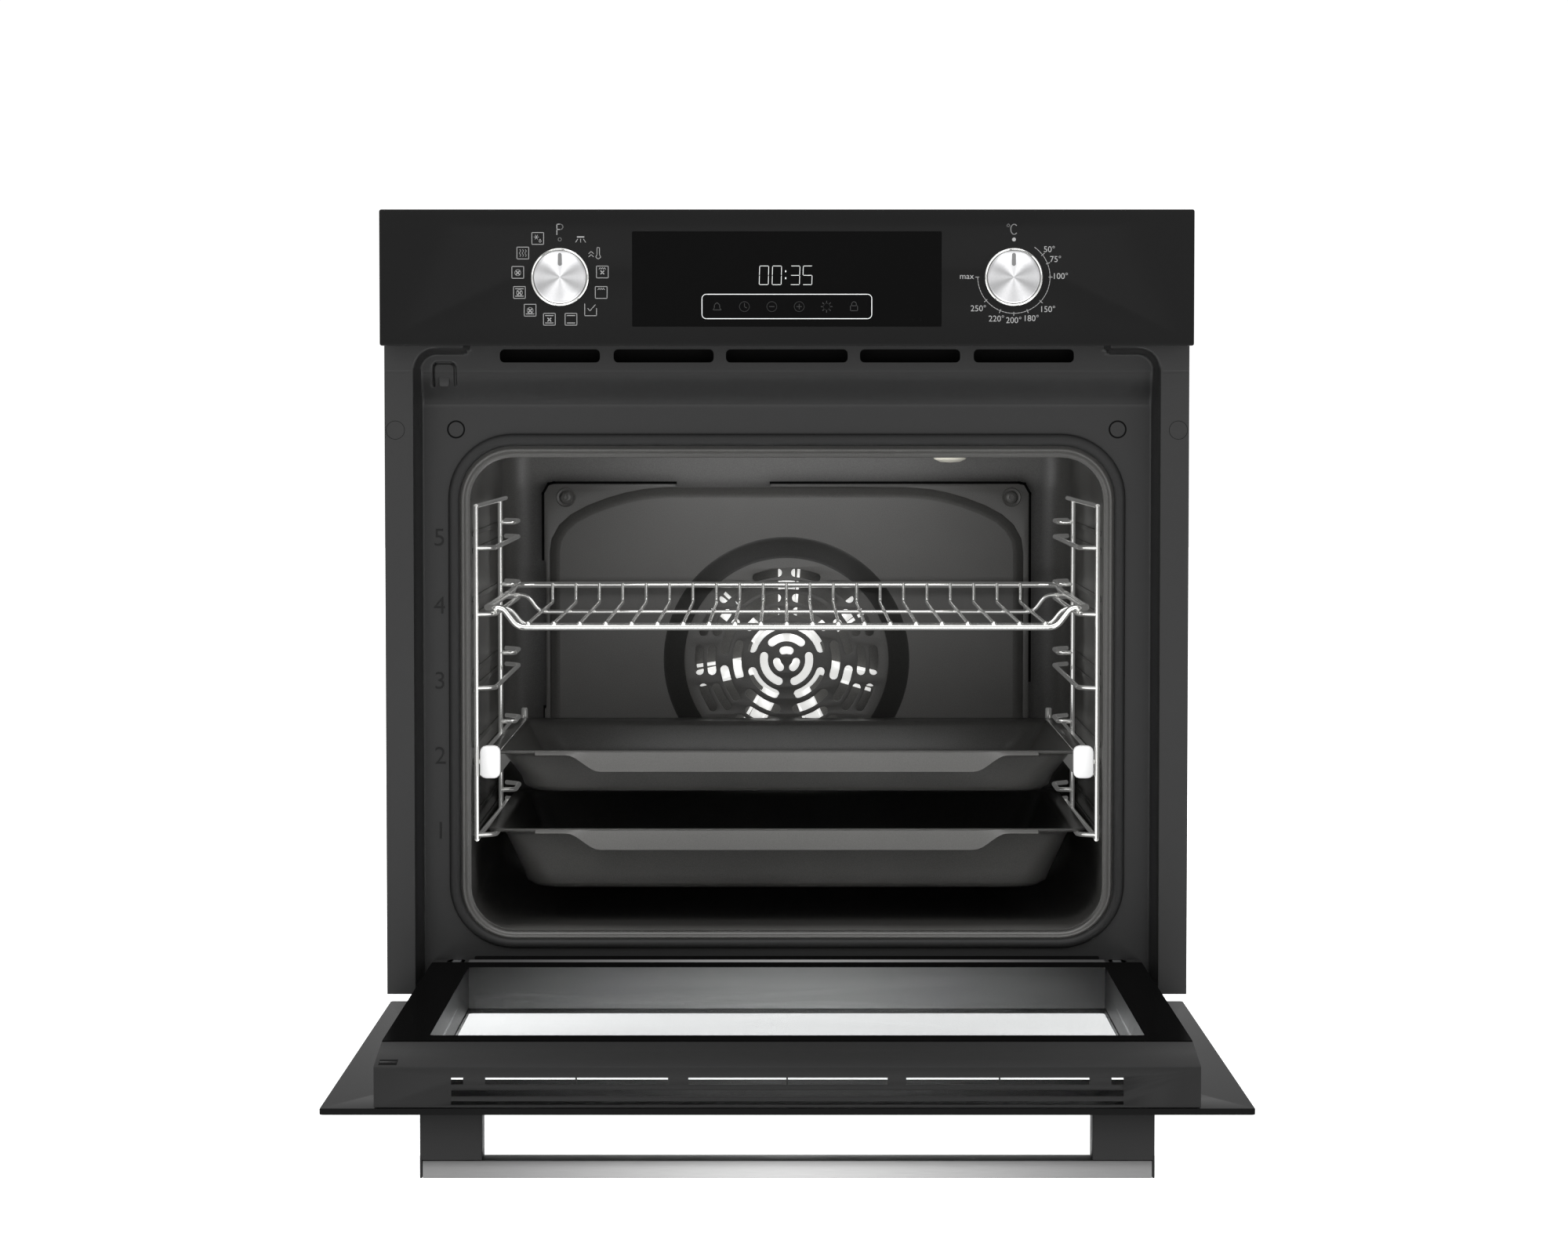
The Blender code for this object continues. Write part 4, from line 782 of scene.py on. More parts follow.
class OVEN_OT_front_frame(OvenPieceOperator, bpy.types.Operator):
    """Press the front frame: flanges, recess, slanted band, vents and level numbers."""

    bl_idname = "oven.front_frame"
    bl_label = "Front Frame"

    def execute(self, context):
        half = (
            spread(0, 220, 20) + spread(222, 238, 2) + spread(239, 252, 0.8) + spread(253, 262, 0.8)
            + spread(263, 279, 0.8) + spread(280, FRAME_HALF, 0.8)
        )
        half = sorted(set(round(v, 2) for v in half))
        xs = [-v for v in reversed(half) if v] + half
        zs = (
            spread(16.6, 425, 24) + spread(427, 443, 4) + spread(444.5, 464, 1.4) + spread(465, 484, 0.8)
            + spread(484.6, 496.6, 0.7)
        )
        sheet = Shape()
        verts = [(x, frame_setback(x, z), z) for z in zs for x in xs]
        wide = len(xs)
        faces, finish = [], []
        for row in range(len(zs) - 1):
            for col in range(wide - 1):
                n = row * wide + col
                faces.append((n, n + 1, n + wide + 1, n + wide))
                x, z = (xs[col] + xs[col + 1]) / 2, (zs[row] + zs[row + 1]) / 2
                # Faces on the slanted band get the darker enamel copy: painted shade.
                band = 453 < z < 476.5 and abs(x) < 269
                finish.append(1 if band else 0)
        sheet.verts, sheet.faces, sheet.finish_of = verts, faces, finish
        count = len(verts)
        back = [(x, y + 1.1, z) for x, y, z in verts]
        sheet.verts += back
        sheet.faces += [tuple(count + i for i in face[::-1]) for face in faces]
        sheet.finish_of += finish
        rim = [n for n in range(wide)] + [row * wide + wide - 1 for row in range(1, len(zs))]
        rim += [(len(zs) - 1) * wide + col for col in range(wide - 2, -1, -1)]
        rim += [row * wide for row in range(len(zs) - 2, 0, -1)]
        for a, b in zip(rim, rim[1:] + rim[:1]):
            sheet.faces.append((b, a, count + a, count + b))
            sheet.finish_of.append(0)
        blank = sheet.mesh("front_frame", [FINISH["enamel"], FINISH["strip"]], sharp=60)
        cutters = []
        mouth = Shape()
        mouth.loft([mouth_ring(y, 8.5, steps=12) for y in (30, 60)], first=True, last=True)
        cutters.append(mouth.mesh("mouth", []))
        for middle, width in ((-175, 74), (-91, 74), (0, 90), (91, 74), (175, 74)):
            slot = Shape()
            outline = rounded((middle - width / 2, middle + width / 2), (483.8, 493.6), 3.4, 5)
            slot.slab(outline, 20, 50, 0.01)
            cutters.append(slot.mesh("vent", []))
        for sign in (-1, 1):
            slot = Shape()
            x = sorted((sign * 238.5, sign * 253.5))
            slot.slab(rounded(x, (22, 38.9), 3, 4), 30, 60, 0.01)
            cutters.append(slot.mesh("hinge_slot", []))
        pressed = cut_away(blank, cutters)
        pressed.name = "front_frame"
        pressed.polygons.foreach_set("use_smooth", [True] * len(pressed.polygons))
        pressed.set_sharp_from_angle(angle=radians(48))
        settle("front_frame_pressing", pressed, "housing", ["front_frame"])
        numbers = Shape()
        for n, z in enumerate((136, 192, 248, 304, 354.6)):
            numbers.lettering(str(n + 1), -258, z - 6.5, 18.5, 0.5, 45.05)
        numbers.piece("level_numbers", [FINISH["plastic"]], "housing", slot="black_enamel", tidy=False)
        # Black sheet behind the vent slots: painted shadow.
        behind = Shape()
        behind.sheet([rounded((-232, 232), (480, 495.5), 2, 3)], 47.5, 48.0)
        behind.piece("vent_shadow_plate", [FINISH["black"]], "housing", slot="black_enamel")
        # Thin black rings and a black strip on the frame's face: painted shadow of grooves and gaps.
        groove_shadows = Shape()
        for x in (-245.4, 245.4):
            groove_shadows.sheet([circle((x, 434.4), 6.7), circle((x, 434.4), 5.5)], 44.82, 44.99)
        for x in (-288.0, 288.0):
            groove_shadows.sheet([circle((x, 434.0), 6.9), circle((x, 434.0), 6.6)], 17.9, 17.99)
        groove_shadows.sheet([rounded((-233, 233), (23, 41.6), 1, 2)], 44.3, 44.95)
        groove_shadows.piece("frame_grooves", [FINISH["black"]], "housing", slot="black_enamel", sharp=60)
        tab = Shape()
        tab.block((-256.9, -249.6), (34.6, 36.4), (466.2, 474.2), 0.4, 0, 1.5)
        tab.piece("lug_tab", [FINISH["enamel"]], "housing", slot="black_enamel")
        return {"FINISHED"}


class OVEN_OT_cavity(OvenPieceOperator, bpy.types.Operator):
    """Draw the enamelled cavity with its rolled mouth, and the seal round it."""

    bl_idname = "oven.cavity"
    bl_label = "Cavity and Seal"

    def execute(self, context):
        liner = Shape()
        lip = [
            (46.4, 13.5), (46.4, 8.6), (45.6, 7.2), (44.9, 6.3), (44.6, 5.4), (45.0, 4.6), (46.6, 3.9),
            (48.0, 2.6), (48.3, 1.6), (47.7, 0.9), (47.6, 0.3), (48.4, -0.1), (50.0, 0.3),
        ]
        # The rolled mouth takes the darker enamel copy: painted shade.
        liner.loft([mouth_ring(y, grow) for y, grow in lip], 1)
        rings = []
        for t in spread(0, 1, 0.25):
            k = smooth_step(t)
            rings.append(rounded(
                [s * (235.6 + 3.7 * k) for s in (-1, 1)], (60.9 - 5.2 * k, 413.8 + 17.7 * k), 32 - 6 * k, 10,
            ))
        depth = [50.0, 52.5, 55.0, 57.5, 61.0]
        body = [[(u, y, v) for u, v in ring] for ring, y in zip(rings, depth)]
        for n in range(0, 9):
            angle = radians(90 * n / 8)
            inset, side = 1 - cos(angle), sin(angle)
            x = CAVITY_HALF - 24 * inset
            z = (FLOOR_Z + 10 * inset, CEILING_Z - 10 * inset)
            outline = rounded((-x, x), z, 26 - 10 * inset, 10)
            body.append([(u, CAVITY_BACK - 24 + 24 * side, v) for u, v in outline])
        liner.loft(body, 0, last=True)
        liner.piece("cavity_shell", [FINISH["cavity"], FINISH["lip"]], "housing",
                    ["cavity_liner", "cavity_back"], "grey_enamel", sharp=60)
        seal = Shape()
        section = [
            (44.6, 8.2), (43.4, 7.7), (41.6, 8.0), (40.4, 9.2), (39.7, 11.2), (39.9, 13.4), (41.0, 15.2),
            (42.8, 16.0), (44.6, 15.4),
        ]
        seal.loft([mouth_ring(y, grow, grow * 1.1, grow * 0.85, 12) for y, grow in section], joined=True)
        seal.piece("mouth_seal", [FINISH["gasket"]], "housing", ["door_gasket"], "gasket_rubber", sharp=70)
        dents = Shape()
        for side in (-1, 1):
            for z in LEVELS:
                for low in (z - 8.5, z + 4.5):
                    outline = rounded((120, 400), (low, low + 4), 1.9, 4)
                    x = sorted((side * (CAVITY_HALF - 0.1), side * (CAVITY_HALF - 1.1)))
                    dents.slab(outline, x[0], x[1], 0.4, plane="yz")
        dents.piece("wall_ribs", [FINISH["cavity"]], "housing", slot="grey_enamel")
        return {"FINISHED"}


def cover_arch(inset):
    """Outline of the raised part of the fan cover, as an arch open to the bottom."""
    points = [(199 - inset, 72 + inset)]
    for x, z, lean in (
        (199, 330, 0), (197.5, 341, 14), (191, 353, 35), (181, 362, 48), (167, 369.5, 58), (150, 376, 65),
        (135, 380.3, 73), (120, 383.2, 81), (100, 384.8, 90),
    ):
        points.append((x - inset * cos(radians(lean)), z - inset * sin(radians(lean))))
    return points + [(-u, v) for u, v in reversed(points)]


class OVEN_OT_fan_cover(OvenPieceOperator, bpy.types.Operator):
    """Press the fan cover and cut its grille."""

    bl_idname = "oven.fan_cover"
    bl_label = "Fan Cover"

    def execute(self, context):
        cover = Shape()
        edge = [
            (203, 120), (203, 323), (203, 379), (199, 386), (195, 387), (13, 387),
            (-13, 387), (-14, 384), (-92, 384), (-93, 387), (-195, 387), (-199, 386), (-203, 379), (-203, 323),
            (-201.5, 321), (-201.5, 200), (-203, 198), (-203, 76), (-198, 70.2), (198, 70.2), (203, 76),
        ]
        cover.sheet([edge, cover_arch(0.5)], COVER_Y, COVER_Y + 1, 0.2)
        steps = [(COVER_Y + 0.9, 0.0), (COVER_Y + 0.1, 0.5), (COVER_Y - 1.0, 1.8), (COVER_Y - 3.8, 5.4),
                 (COVER_Y - 4.7, 7.2), (COVER_Y - 5.0, 9.5)]
        cover.loft([[(u, y, v) for u, v in cover_arch(inset)] for y, inset in steps])
        cover.sheet([cover_arch(9.5), circle((0, FAN_Z), 103.0, 96)], COVER_Y - 5, COVER_Y - 4, 0.0)
        # The dome's sloping ring takes the darker enamel copy: painted shade.
        cover.turn((
            (103.0, COVER_Y - 5), (101.5, COVER_Y - 5.2), (99.5, COVER_Y - 6.2), (91, DOME_Y + 2.0),
            (88, DOME_Y + 0.6), (85.5, DOME_Y),
        ), (0, FAN_Z), 1, 96)
        slots = [circle((0, FAN_Z), 85.5, 96)]
        rows = (
            (8.2, 3, 90, 42, 6.4), (19.0, 3, 90, 50, 6.6), (30.0, 4, 45, 33, 7.0), (41.5, 6, 0, 23, 7.0),
            (52.5, 8, 22.5, 17.5, 7.0), (63.0, 12, 0, 11.6, 7.0), (73.4, 14, 0, 9.9, 7.0),
        )
        for radius, count, first, half_span, width in rows:
            for n in range(count):
                middle = first + 360 * n / count
                slots.append(curved_slot(radius, middle, half_span, width, (0, FAN_Z)))
        cover.sheet(slots, DOME_Y, DOME_Y + 1.1, 0.35)
        cover.piece("fan_cover_pressing", [FINISH["cover"], FINISH["dome"]], "housing", ["fan_cover"],
                    "grey_enamel", sharp=40)
        # Black lines round the cover's edge: painted shadow of the gap behind it.
        gap = Shape()
        gap.stroke([(-204, 324), (-204, 379), (-199.5, 387), (-195, 388), (-93, 388)], 2.2, COVER_Y + 0.8)
        gap.stroke([(-13, 388), (195, 388), (199.5, 387), (204, 379), (204, 222)], 2.2, COVER_Y + 0.8)
        gap.stroke([(-203, 72), (-203, 200)], 2.2, COVER_Y + 0.8)
        gap.piece("fan_cover_return", [FINISH["black"]], "housing", slot="grey_enamel", tidy=False)
        washer = Shape()
        for x in (-184.7, 188.4):
            washer.turn((
                (8.2, COVER_Y), (7.6, COVER_Y - 0.8), (6.0, COVER_Y - 0.2), (5.6, COVER_Y + 0.1),
                (5.0, COVER_Y - 1.2), (4.0, COVER_Y - 2.2), (2.0, COVER_Y - 2.4), (1.7, COVER_Y - 1.0),
                (0.01, COVER_Y - 1.0),
            ), (x, 375.8), sides=28)
        washer.piece("fan_cover_screws", [FINISH["cover"]], "housing", slot="grey_enamel", sharp=40)
        return {"FINISHED"}


class OVEN_OT_fans(OvenPieceOperator, bpy.types.Operator):
    """Build the convection fan, the disc behind it, and the cooling fan's wheel."""

    bl_idname = "oven.fans"
    bl_label = "Fans"

    def execute(self, context):
        low, high = cad_span("convection_fan")[1]
        fan = Shape()
        fan.turn((
            (0.01, low), (5.5, low), (6.0, low + 0.8), (6.2, low + 3.0), (12, low + 3.4), (14, low + 4.2),
            (29, low + 5.4), (31, low + 6.8), (31, low + 7.8), (29, low + 6.6), (5, low + 6.0), (3, high - 12),
            (3, high), (0.01, high),
        ), (0, FAN_Z), sides=64)
        arm = Shape()
        arm.slab(rounded((-7, 7), (FAN_Z + 24, FAN_Z + 77), 2.5, 4), low + 6.2, low + 7.2, 0.2)
        fin = [(x, FAN_Z + r) for x, r in ((6.2, 34), (8.4, 34), (11.5, 75), (9.3, 75))]
        arm.slab(fin, low + 7.0, low + 26, 0.1)
        arm.slab(rounded((-5.4, -3.2), (FAN_Z + 46, FAN_Z + 72), 1, 3), low + 5.4, low + 6.6, 0.3)
        arm.turn(((0.01, low + 5.0), (1.6, low + 5.2), (2.4, low + 6.4)), (1.5, FAN_Z + 66), sides=14)
        blades = run_tree(
            tree("ring"), arm.mesh("arm", []), Count=7, Hub=tuple(in_frame((0, 0, FAN_Z))), Finish=FINISH["bright"],
        )
        fan.add_mesh(blades)
        fan.piece("convection_fan_wheel", [FINISH["bright"]], "convection_fan", ["convection_fan"], "chrome_wire")
        dark = Shape()
        dark.turn(((0.01, 470.5), (84, 470.5), (84, 472.5), (0.01, 472.5)), (0, FAN_Z), sides=48)
        dark.piece("fan_backing_disc", [FINISH["cavity"]], "housing", slot="grey_enamel")
        wheel = cad_span("cooling_fan_wheel")
        centre = ((wheel[1][0] + wheel[1][1]) / 2, (wheel[2][0] + wheel[2][1]) / 2)
        radius = (wheel[1][1] - wheel[1][0]) / 2
        drum = Shape()
        blade = [(centre[0] + radius * k * cos(a), centre[1] + radius * k * sin(a))
                 for k, a in ((0.8, 0.0), (0.9, 0.05), (1.0, 0.16))]
        outline = blade + [(u + 0.5, v - 0.5) for u, v in reversed(blade)]
        for n in range(28):
            turn = 2 * pi * n / 28
            spun = []
            for u, v in outline:
                du, dv = u - centre[0], v - centre[1]
                spun.append((centre[0] + du * cos(turn) - dv * sin(turn),
                             centre[1] + du * sin(turn) + dv * cos(turn)))
            drum.slab(spun, wheel[0][0] + 1, 96, 0.05, plane="yz")
        for along in (wheel[0][0], 0, 95):
            drum.turn(((radius * 0.78, along), (radius, along), (radius, along + 2), (radius * 0.78, along + 2)),
                      centre, sides=48, axis="x", joined=True)
        drum.turn((
            (0.01, 94), (radius * 0.8, 94), (radius * 0.8, 96), (3, 96), (3, wheel[0][1]), (0.01, wheel[0][1]),
        ), centre, sides=40, axis="x")
        drum.piece("cooling_fan_drum", [FINISH["zinc"]], "cooling_fan_wheel", ["cooling_fan_wheel"], "zinc_steel")
        return {"FINISHED"}


class OVEN_OT_side_racks(OvenPieceOperator, bpy.types.Operator):
    """Bend the wire racks on the cavity's side walls."""

    bl_idname = "oven.side_racks"
    bl_label = "Side Racks"

    def execute(self, context):
        radius = self.sizes.rack_wire / MM / 2
        for side, name in ((-1, "left"), (1, "right")):
            routes = [
                bent([(side * 233.3, 76.5, 126), (side * 233.3, 76.5, 376.6)], 3),
                bent([(side * 231.2, 317, 126), (side * 231.2, 317, 376.6)], 3),
            ]
            for level, z in enumerate(LEVELS):
                low = z - 2.6
                routes.append(bent([
                    (side * 233.3, 76.5, low), (side * 219.6, 84, low), (side * 219.6, 372, low),
                    (side * 231.2, 384.6, low),
                ], 10))
                routes.append(bent([
                    (side * 231.2, 317, low + 13), (side * 219.6, 317, low + 13), (side * 219.6, 372, low + 13),
                    (side * 231.2, 384.6, low + 13),
                ], 6))
            for z in (126, 376.6):
                routes.append(bent([
                    (side * 233.3, 76.5, z), (side * 233.3, 120, z), (side * 231.2, 317, z), (side * 231.2, 384.6, z),
                ], 8))
            mesh = wires(routes, radius, FINISH["chrome"])
            settle("rack_wires_" + name, mesh, "housing", ["side_rack_" + name])
        return {"FINISHED"}


class OVEN_OT_runners(OvenPieceOperator, bpy.types.Operator):
    """Roll the telescopic runners and mould their white caps."""

    bl_idname = "oven.runners"
    bl_label = "Runners"

    def execute(self, context):
        for side, name in ((-1, "left"), (1, "right")):
            for node, body in (("runner_fixed_", "housing"), ("runner_middle_", "runner_middle"),
                               ("runner_inner_", "runner_carriage")):
                x, y, _ = cad_span(node + name)
                rail = Shape()
                z = (173.2, 190.7)
                x0, x1 = sorted((side * max(abs(x[0]), abs(x[1])), side * min(abs(x[0]), abs(x[1]))))
                if node == "runner_inner_":
                    x0, x1 = sorted((side * 220.4, side * 215.8))
                web, outer = (x1, x0) if side < 0 else (x0, x1)
                middle = (z[0] + z[1]) / 2
                section = [
                    (web, z[0] + 2), (web + side * 1.5, z[0]), (outer - side * 0.5, z[0]), (outer, z[0] + 1.5),
                    (outer, z[0] + 3.5), (outer - side * 1, z[0] + 2.4), (web + side * 2.0, z[0] + 2.0),
                    (web + side * 1.2, middle), (web + side * 2.0, z[1] - 2.0), (outer - side * 1, z[1] - 2.4),
                    (outer, z[1] - 3.5), (outer, z[1] - 1.5), (outer - side * 0.5, z[1]), (web + side * 1.5, z[1]),
                    (web, z[1] - 2),
                ]
                y = (y[0] + (7.5 if node == "runner_inner_" else 0.2), y[1] - (8 if node == "runner_inner_" else 0.2))
                rail.slab(section, y[0], y[1], 0.05)
                if node == "runner_inner_":
                    cap = sorted((side * 215.4, side * 230.4))
                    rail.block(cap, (69.4, 78.0), (172.4, 196.8), 1.6, 1, 4.5)
                    rail.turn(((0.01, 188), (2.2, 188), (2.6, 189), (2.6, 199.4), (2.0, 200.2), (0.01, 200.2)),
                              (side * 219, 432.5), 0, 20, axis="z")
                    rail.block(sorted((side * 215.6, side * 222.0)), (428, 437.0), (178, 190), 0.6, 0, 1.5)
                rail.piece(node + "rail_" + name, [FINISH["chrome"], FINISH["white"]], body, [node + name],
                           "chrome_wire", sharp=30)
        return {"FINISHED"}


class OVEN_OT_wire_shelf(OvenPieceOperator, bpy.types.Operator):
    """Bend and weld the wire shelf."""

    bl_idname = "oven.wire_shelf"
    bl_label = "Wire Shelf"

    def execute(self, context):
        (x0, x1), (front, back), (low, high) = cad_span("wire_shelf")
        thick, fine = self.sizes.shelf_wire / MM / 2, self.sizes.cross_wire / MM / 2
        rim = high - thick
        bed = low + thick

        def dipped(y, x_out, x_in, top, bottom, radius=6):
            return bent([
                (-x_out, y, top), (-x_in, y, top), (-x_in + 10, y, bottom), (x_in - 10, y, bottom),
                (x_in, y, top), (x_out, y, top),
            ], radius)

        shelf = Shape()
        side = x1 - thick
        front_route = bent([
            (-side, 330, rim), (-side, front + 8, rim), (-side + 5, front + thick, rim),
            (-214, front + thick, rim), (-203, front + thick, bed), (203, front + thick, bed),
            (214, front + thick, rim), (side - 5, front + thick, rim), (side, front + 8, rim), (side, 330, rim),
        ], 6)
        rail = rim + 3.4
        back_route = bent([
            (-side, 300, rim), (-side, 400, rim), (-side, back - 10, rail), (-side + 14, back - thick, rail),
            (side - 14, back - thick, rail), (side, back - 10, rail), (side, 400, rim), (side, 300, rim),
        ], 9)
        shelf.add_mesh(wires([front_route, back_route], thick, FINISH["chrome"]))
        shelf.add_mesh(wires([
            dipped(front + 11.5, side - 1, 209, rim - 0.4, bed + 1.2),
            dipped(326, side - 1, 210, rim - 0.5, bed + 0.2, 6),
        ], fine * 1.25, FINISH["chrome"]))
        cross, balls = [], Shape()
        pitch = self.sizes.cross_pitch / MM
        count = int(2 * 204 / pitch)
        for n in range(count + 1):
            x = (n - count / 2) * pitch
            top = bed + thick * 0.6 + fine
            cross.append(bent([
                (x, front + 1.5, top), (x, back - 7.5, top + 0.6), (x, back - 5.2, rail + 1.4),
            ], 3))
            balls.turn(((0.01, front + 0.3), (1.4, front + 0.7), (2.1, front + 2.0), (1.4, front + 3.3),
                        (0.01, front + 3.6)),
                       (x, top), sides=12)
        shelf.add_mesh(wires(cross, fine, FINISH["chrome"], 8))
        shelf.join(balls)
        shelf.piece("shelf_wires", [FINISH["chrome"]], "wire_shelf", ["wire_shelf"], "chrome_wire", sharp=60)
        return {"FINISHED"}


class OVEN_OT_trays(OvenPieceOperator, bpy.types.Operator):
    """Press the two enamelled trays."""

    bl_idname = "oven.trays"
    bl_label = "Trays"

    def execute(self, context):
        for name, body, wall in (("tray_lower", "tray_lower", 12.0), ("tray_upper", "runner_carriage", 10.0)):
            (x0, x1), (front, back), (low, high) = cad_span(name)
            tray = Shape()
            thick = 0.9
            rim = high - 1.6

            def ring(inset_x, inset_y, z, radius):
                outline = rounded((x0 + inset_x, x1 - inset_x), (front + inset_y, back - inset_y), radius, 8)
                return [(u, v, z) for u, v in outline]

            drop = rim - low
            rings = [
                ring(0.6, 4.0, rim - 1.2, 14), ring(0.0, 3.2, rim - 0.6, 14), ring(0.3, 3.0, rim + 0.9, 14),
                ring(1.6, 4.0, rim + 1.4, 13), ring(9, 11, rim, 12), ring(12, 14, rim - 1.2, 15),
                ring(14, 16, rim - 5, 16), ring(14 + wall, 16 + wall, low + 12, 22),
                ring(16.5 + wall, 18.5 + wall, low + 5, 24), ring(22 + wall, 24 + wall, low + 1.6, 26),
                ring(30 + wall, 32 + wall, low + thick, 24),
            ]
            under = [
                ring(30 + wall, 32 + wall, low, 24), ring(21 + wall, 23 + wall, low + 0.6, 26),
                ring(15.4 + wall, 17.4 + wall, low + 4.6, 24), ring(13 + wall, 15 + wall, low + 12, 22),
                ring(13, 15, rim - 5, 16), ring(11, 13, rim - 2.2, 15), ring(4, 6, rim - 1.4, 13),
            ]
            tray.loft(rings, last=True)
            tray.loft([rings[0]] + under[::-1], last=True)
            skirt, drawn = [], []
            for x in spread(-190, 190, 3.8):
                deep = 2.0 + 12.5 * smooth_step((166.6 - abs(x)) / 25.3)
                skirt.append((x, deep))
            top_line = [(x, front + 3.4, rim + 0.6) for x, _ in skirt]
            mid_line = [(x, front + 1.4, rim - deep * 0.35) for x, deep in skirt]
            low_line = [(x, front + 0.2, rim - deep) for x, deep in skirt]
            back_line = [(x, front + 1.1, rim - deep + 0.1) for x, deep in skirt]
            back_top = [(x, front + 4.6, rim - 0.4) for x, _ in skirt]
            # The tray front takes the lighter enamel copy: painted light.
            tray.loft([top_line, mid_line, low_line, back_line, back_top], 1, ring_shut=False)
            tray.piece(name + "_pressing", [FINISH["tray"], FINISH["skirt"]], body, [name], "grey_enamel", sharp=50)
        return {"FINISHED"}


class OVEN_OT_door_glass(OvenPieceOperator, bpy.types.Operator):
    """Cut the three door panes and print their black borders."""

    bl_idname = "oven.door_glass"
    bl_label = "Door Glass"

    def execute(self, context):
        window = rounded((-235.5, 235.5), (38.0, 373.0), 4, 5)
        outer = Shape()
        outer.sheet([rounded((-297.5, 297.5), (0.0, 491.7), 2.5, 5), window], 0.0, 4.0, 0.45)
        outer.piece("outer_pane_border", [FINISH["border"]], "door", ["door_outer_glass"], "black_glass",
                    door=True)
        clear = Shape()
        clear.slab(rounded((-235.4, 235.4), (38.1, 372.9), 4, 5), 0.1, 3.9, 0.02)
        clear.piece("outer_pane_window", [FINISH["glass"]], "door", slot="clear_glass", door=True)
        low, high = cad_span("door_middle_glass")[1]
        middle = Shape()
        middle.slab(rounded((-235.3, 235.3), (PIVOT_Y + PIVOT_Z - high, PIVOT_Y + PIVOT_Z - low), 2, 4),
                    18.0, 21.0, 0.3)
        middle.piece("middle_pane", [FINISH["glass"]], "door", ["door_middle_glass"], "clear_glass", door=True)
        low, high = cad_span("door_inner_glass")[1]
        edge = rounded((-262.9, 262.9), (PIVOT_Y + PIVOT_Z - high, PIVOT_Y + PIVOT_Z - low), 2, 4)
        inner = Shape()
        far, near = PIVOT_Y + PIVOT_Z - high, PIVOT_Y + PIVOT_Z - low
        inner.slab(rounded((-262.9, 262.9), (far, near - 1.5), 2, 4), 35.0, 38.7, 0.3)
        inner.piece("inner_pane", [FINISH["glass"]], "door", ["door_inner_glass"], "clear_glass", door=True)
        frit = Shape()
        frit.sheet([edge, rounded((-233.8, 233.8), (70.0, 409.0), 3, 5)], 38.72, 38.8)
        frit.slab([(-262.9, near - 1.4), (262.9, near - 1.4), (262.9, near), (-262.9, near)], 35.0, 38.7, 0.1)
        frit.piece("inner_pane_border", [FINISH["frit"]], "door", slot="black_glass", door=True)
        return {"FINISHED"}


class OVEN_OT_door_frame(OvenPieceOperator, bpy.types.Operator):
    """Fold the door's slotted top profile."""

    bl_idname = "oven.door_frame"
    bl_label = "Door Frame"

    def execute(self, context):
        face_z, back_z = 490.2, 433.6
        section = [
            (back_z, 38.0), (back_z + 0.6, 38.3), (488.0, 31.2), (489.5, 30.4), (face_z, 28.8), (face_z, 4.6),
            (488.9, 4.6), (488.9, 28.4), (488.2, 29.4), (487.4, 29.9), (back_z + 0.5, 37.0), (back_z, 36.9),
        ]
        profile = Shape()
        profile.slab([(y, z) for z, y in section], -262.9, 262.9, 0.15, plane="yz")
        for side in (-1, 1):
            cap = [(4.4, back_z), (4.4, 489.0), (28.6, 489.0), (30.2, 487.6), (37.4, back_z)]
            ends = sorted((side * 261.6, side * 262.9))
            profile.slab(cap, ends[0], ends[1], 0.2, plane="yz")
        blank = profile.mesh("top_profile", [FINISH["profile"]], door=True, tidy=False)
        webs = (
            -213.7, -206, -192, -134.7, -133.7, -75.8, -62.9, -0.6, 0.4, 63.7, 75.6, 134.4, 135.4, 192, 206, 213.7,
        )
        cutters = []
        for low, high, ends in (
            (19.2, 23.7, webs), (11.7, 15.7, (-213.7, 213.7)), (6.2, 8.7, (-213.7, 213.7)),
        ):
            for start, stop in zip(ends[::2], ends[1::2]):
                slot = Shape()
                slot.slab([(start, low), (stop, low), (stop, high), (start, high)], 480, 495, 0.0001, plane="xz")
                slot.verts = [(x, z, y) for x, y, z in slot.verts]
                cutters.append(slot.mesh("slot", [], door=True))
        folded = cut_away(blank, cutters)
        folded.name = "top_profile"
        settle("door_top_profile_folded", folded, "door", ["door_top_profile"])
        tilt = (38.3 - 31.2) / (488.0 - 434.2)
        # The latch recess is a black plate on the profile: painted shadow.
        for name, (x0, x1), (z0, z1), (under, over), finish in (
            ("latch_recess", (-260.2, -248.6), (475.0, 487.0), (0, 0.2), "black"),
            ("latch_bar", (-259.8, -249.0), (480.4, 482.0), (0.1, 0.35), "enamel"),
        ):
            plate = Shape()
            plate.slab([(x0, z0), (x1, z0), (x1, z1), (x0, z1)], under, over, 0.05, plane="xy")
            plate.verts = [(x, 31.2 + (488.0 - up) * tilt + lift, up) for x, up, lift in plate.verts]
            plate.piece(name, [FINISH[finish]], "door", slot="black_plastic", door=True)
        return {"FINISHED"}


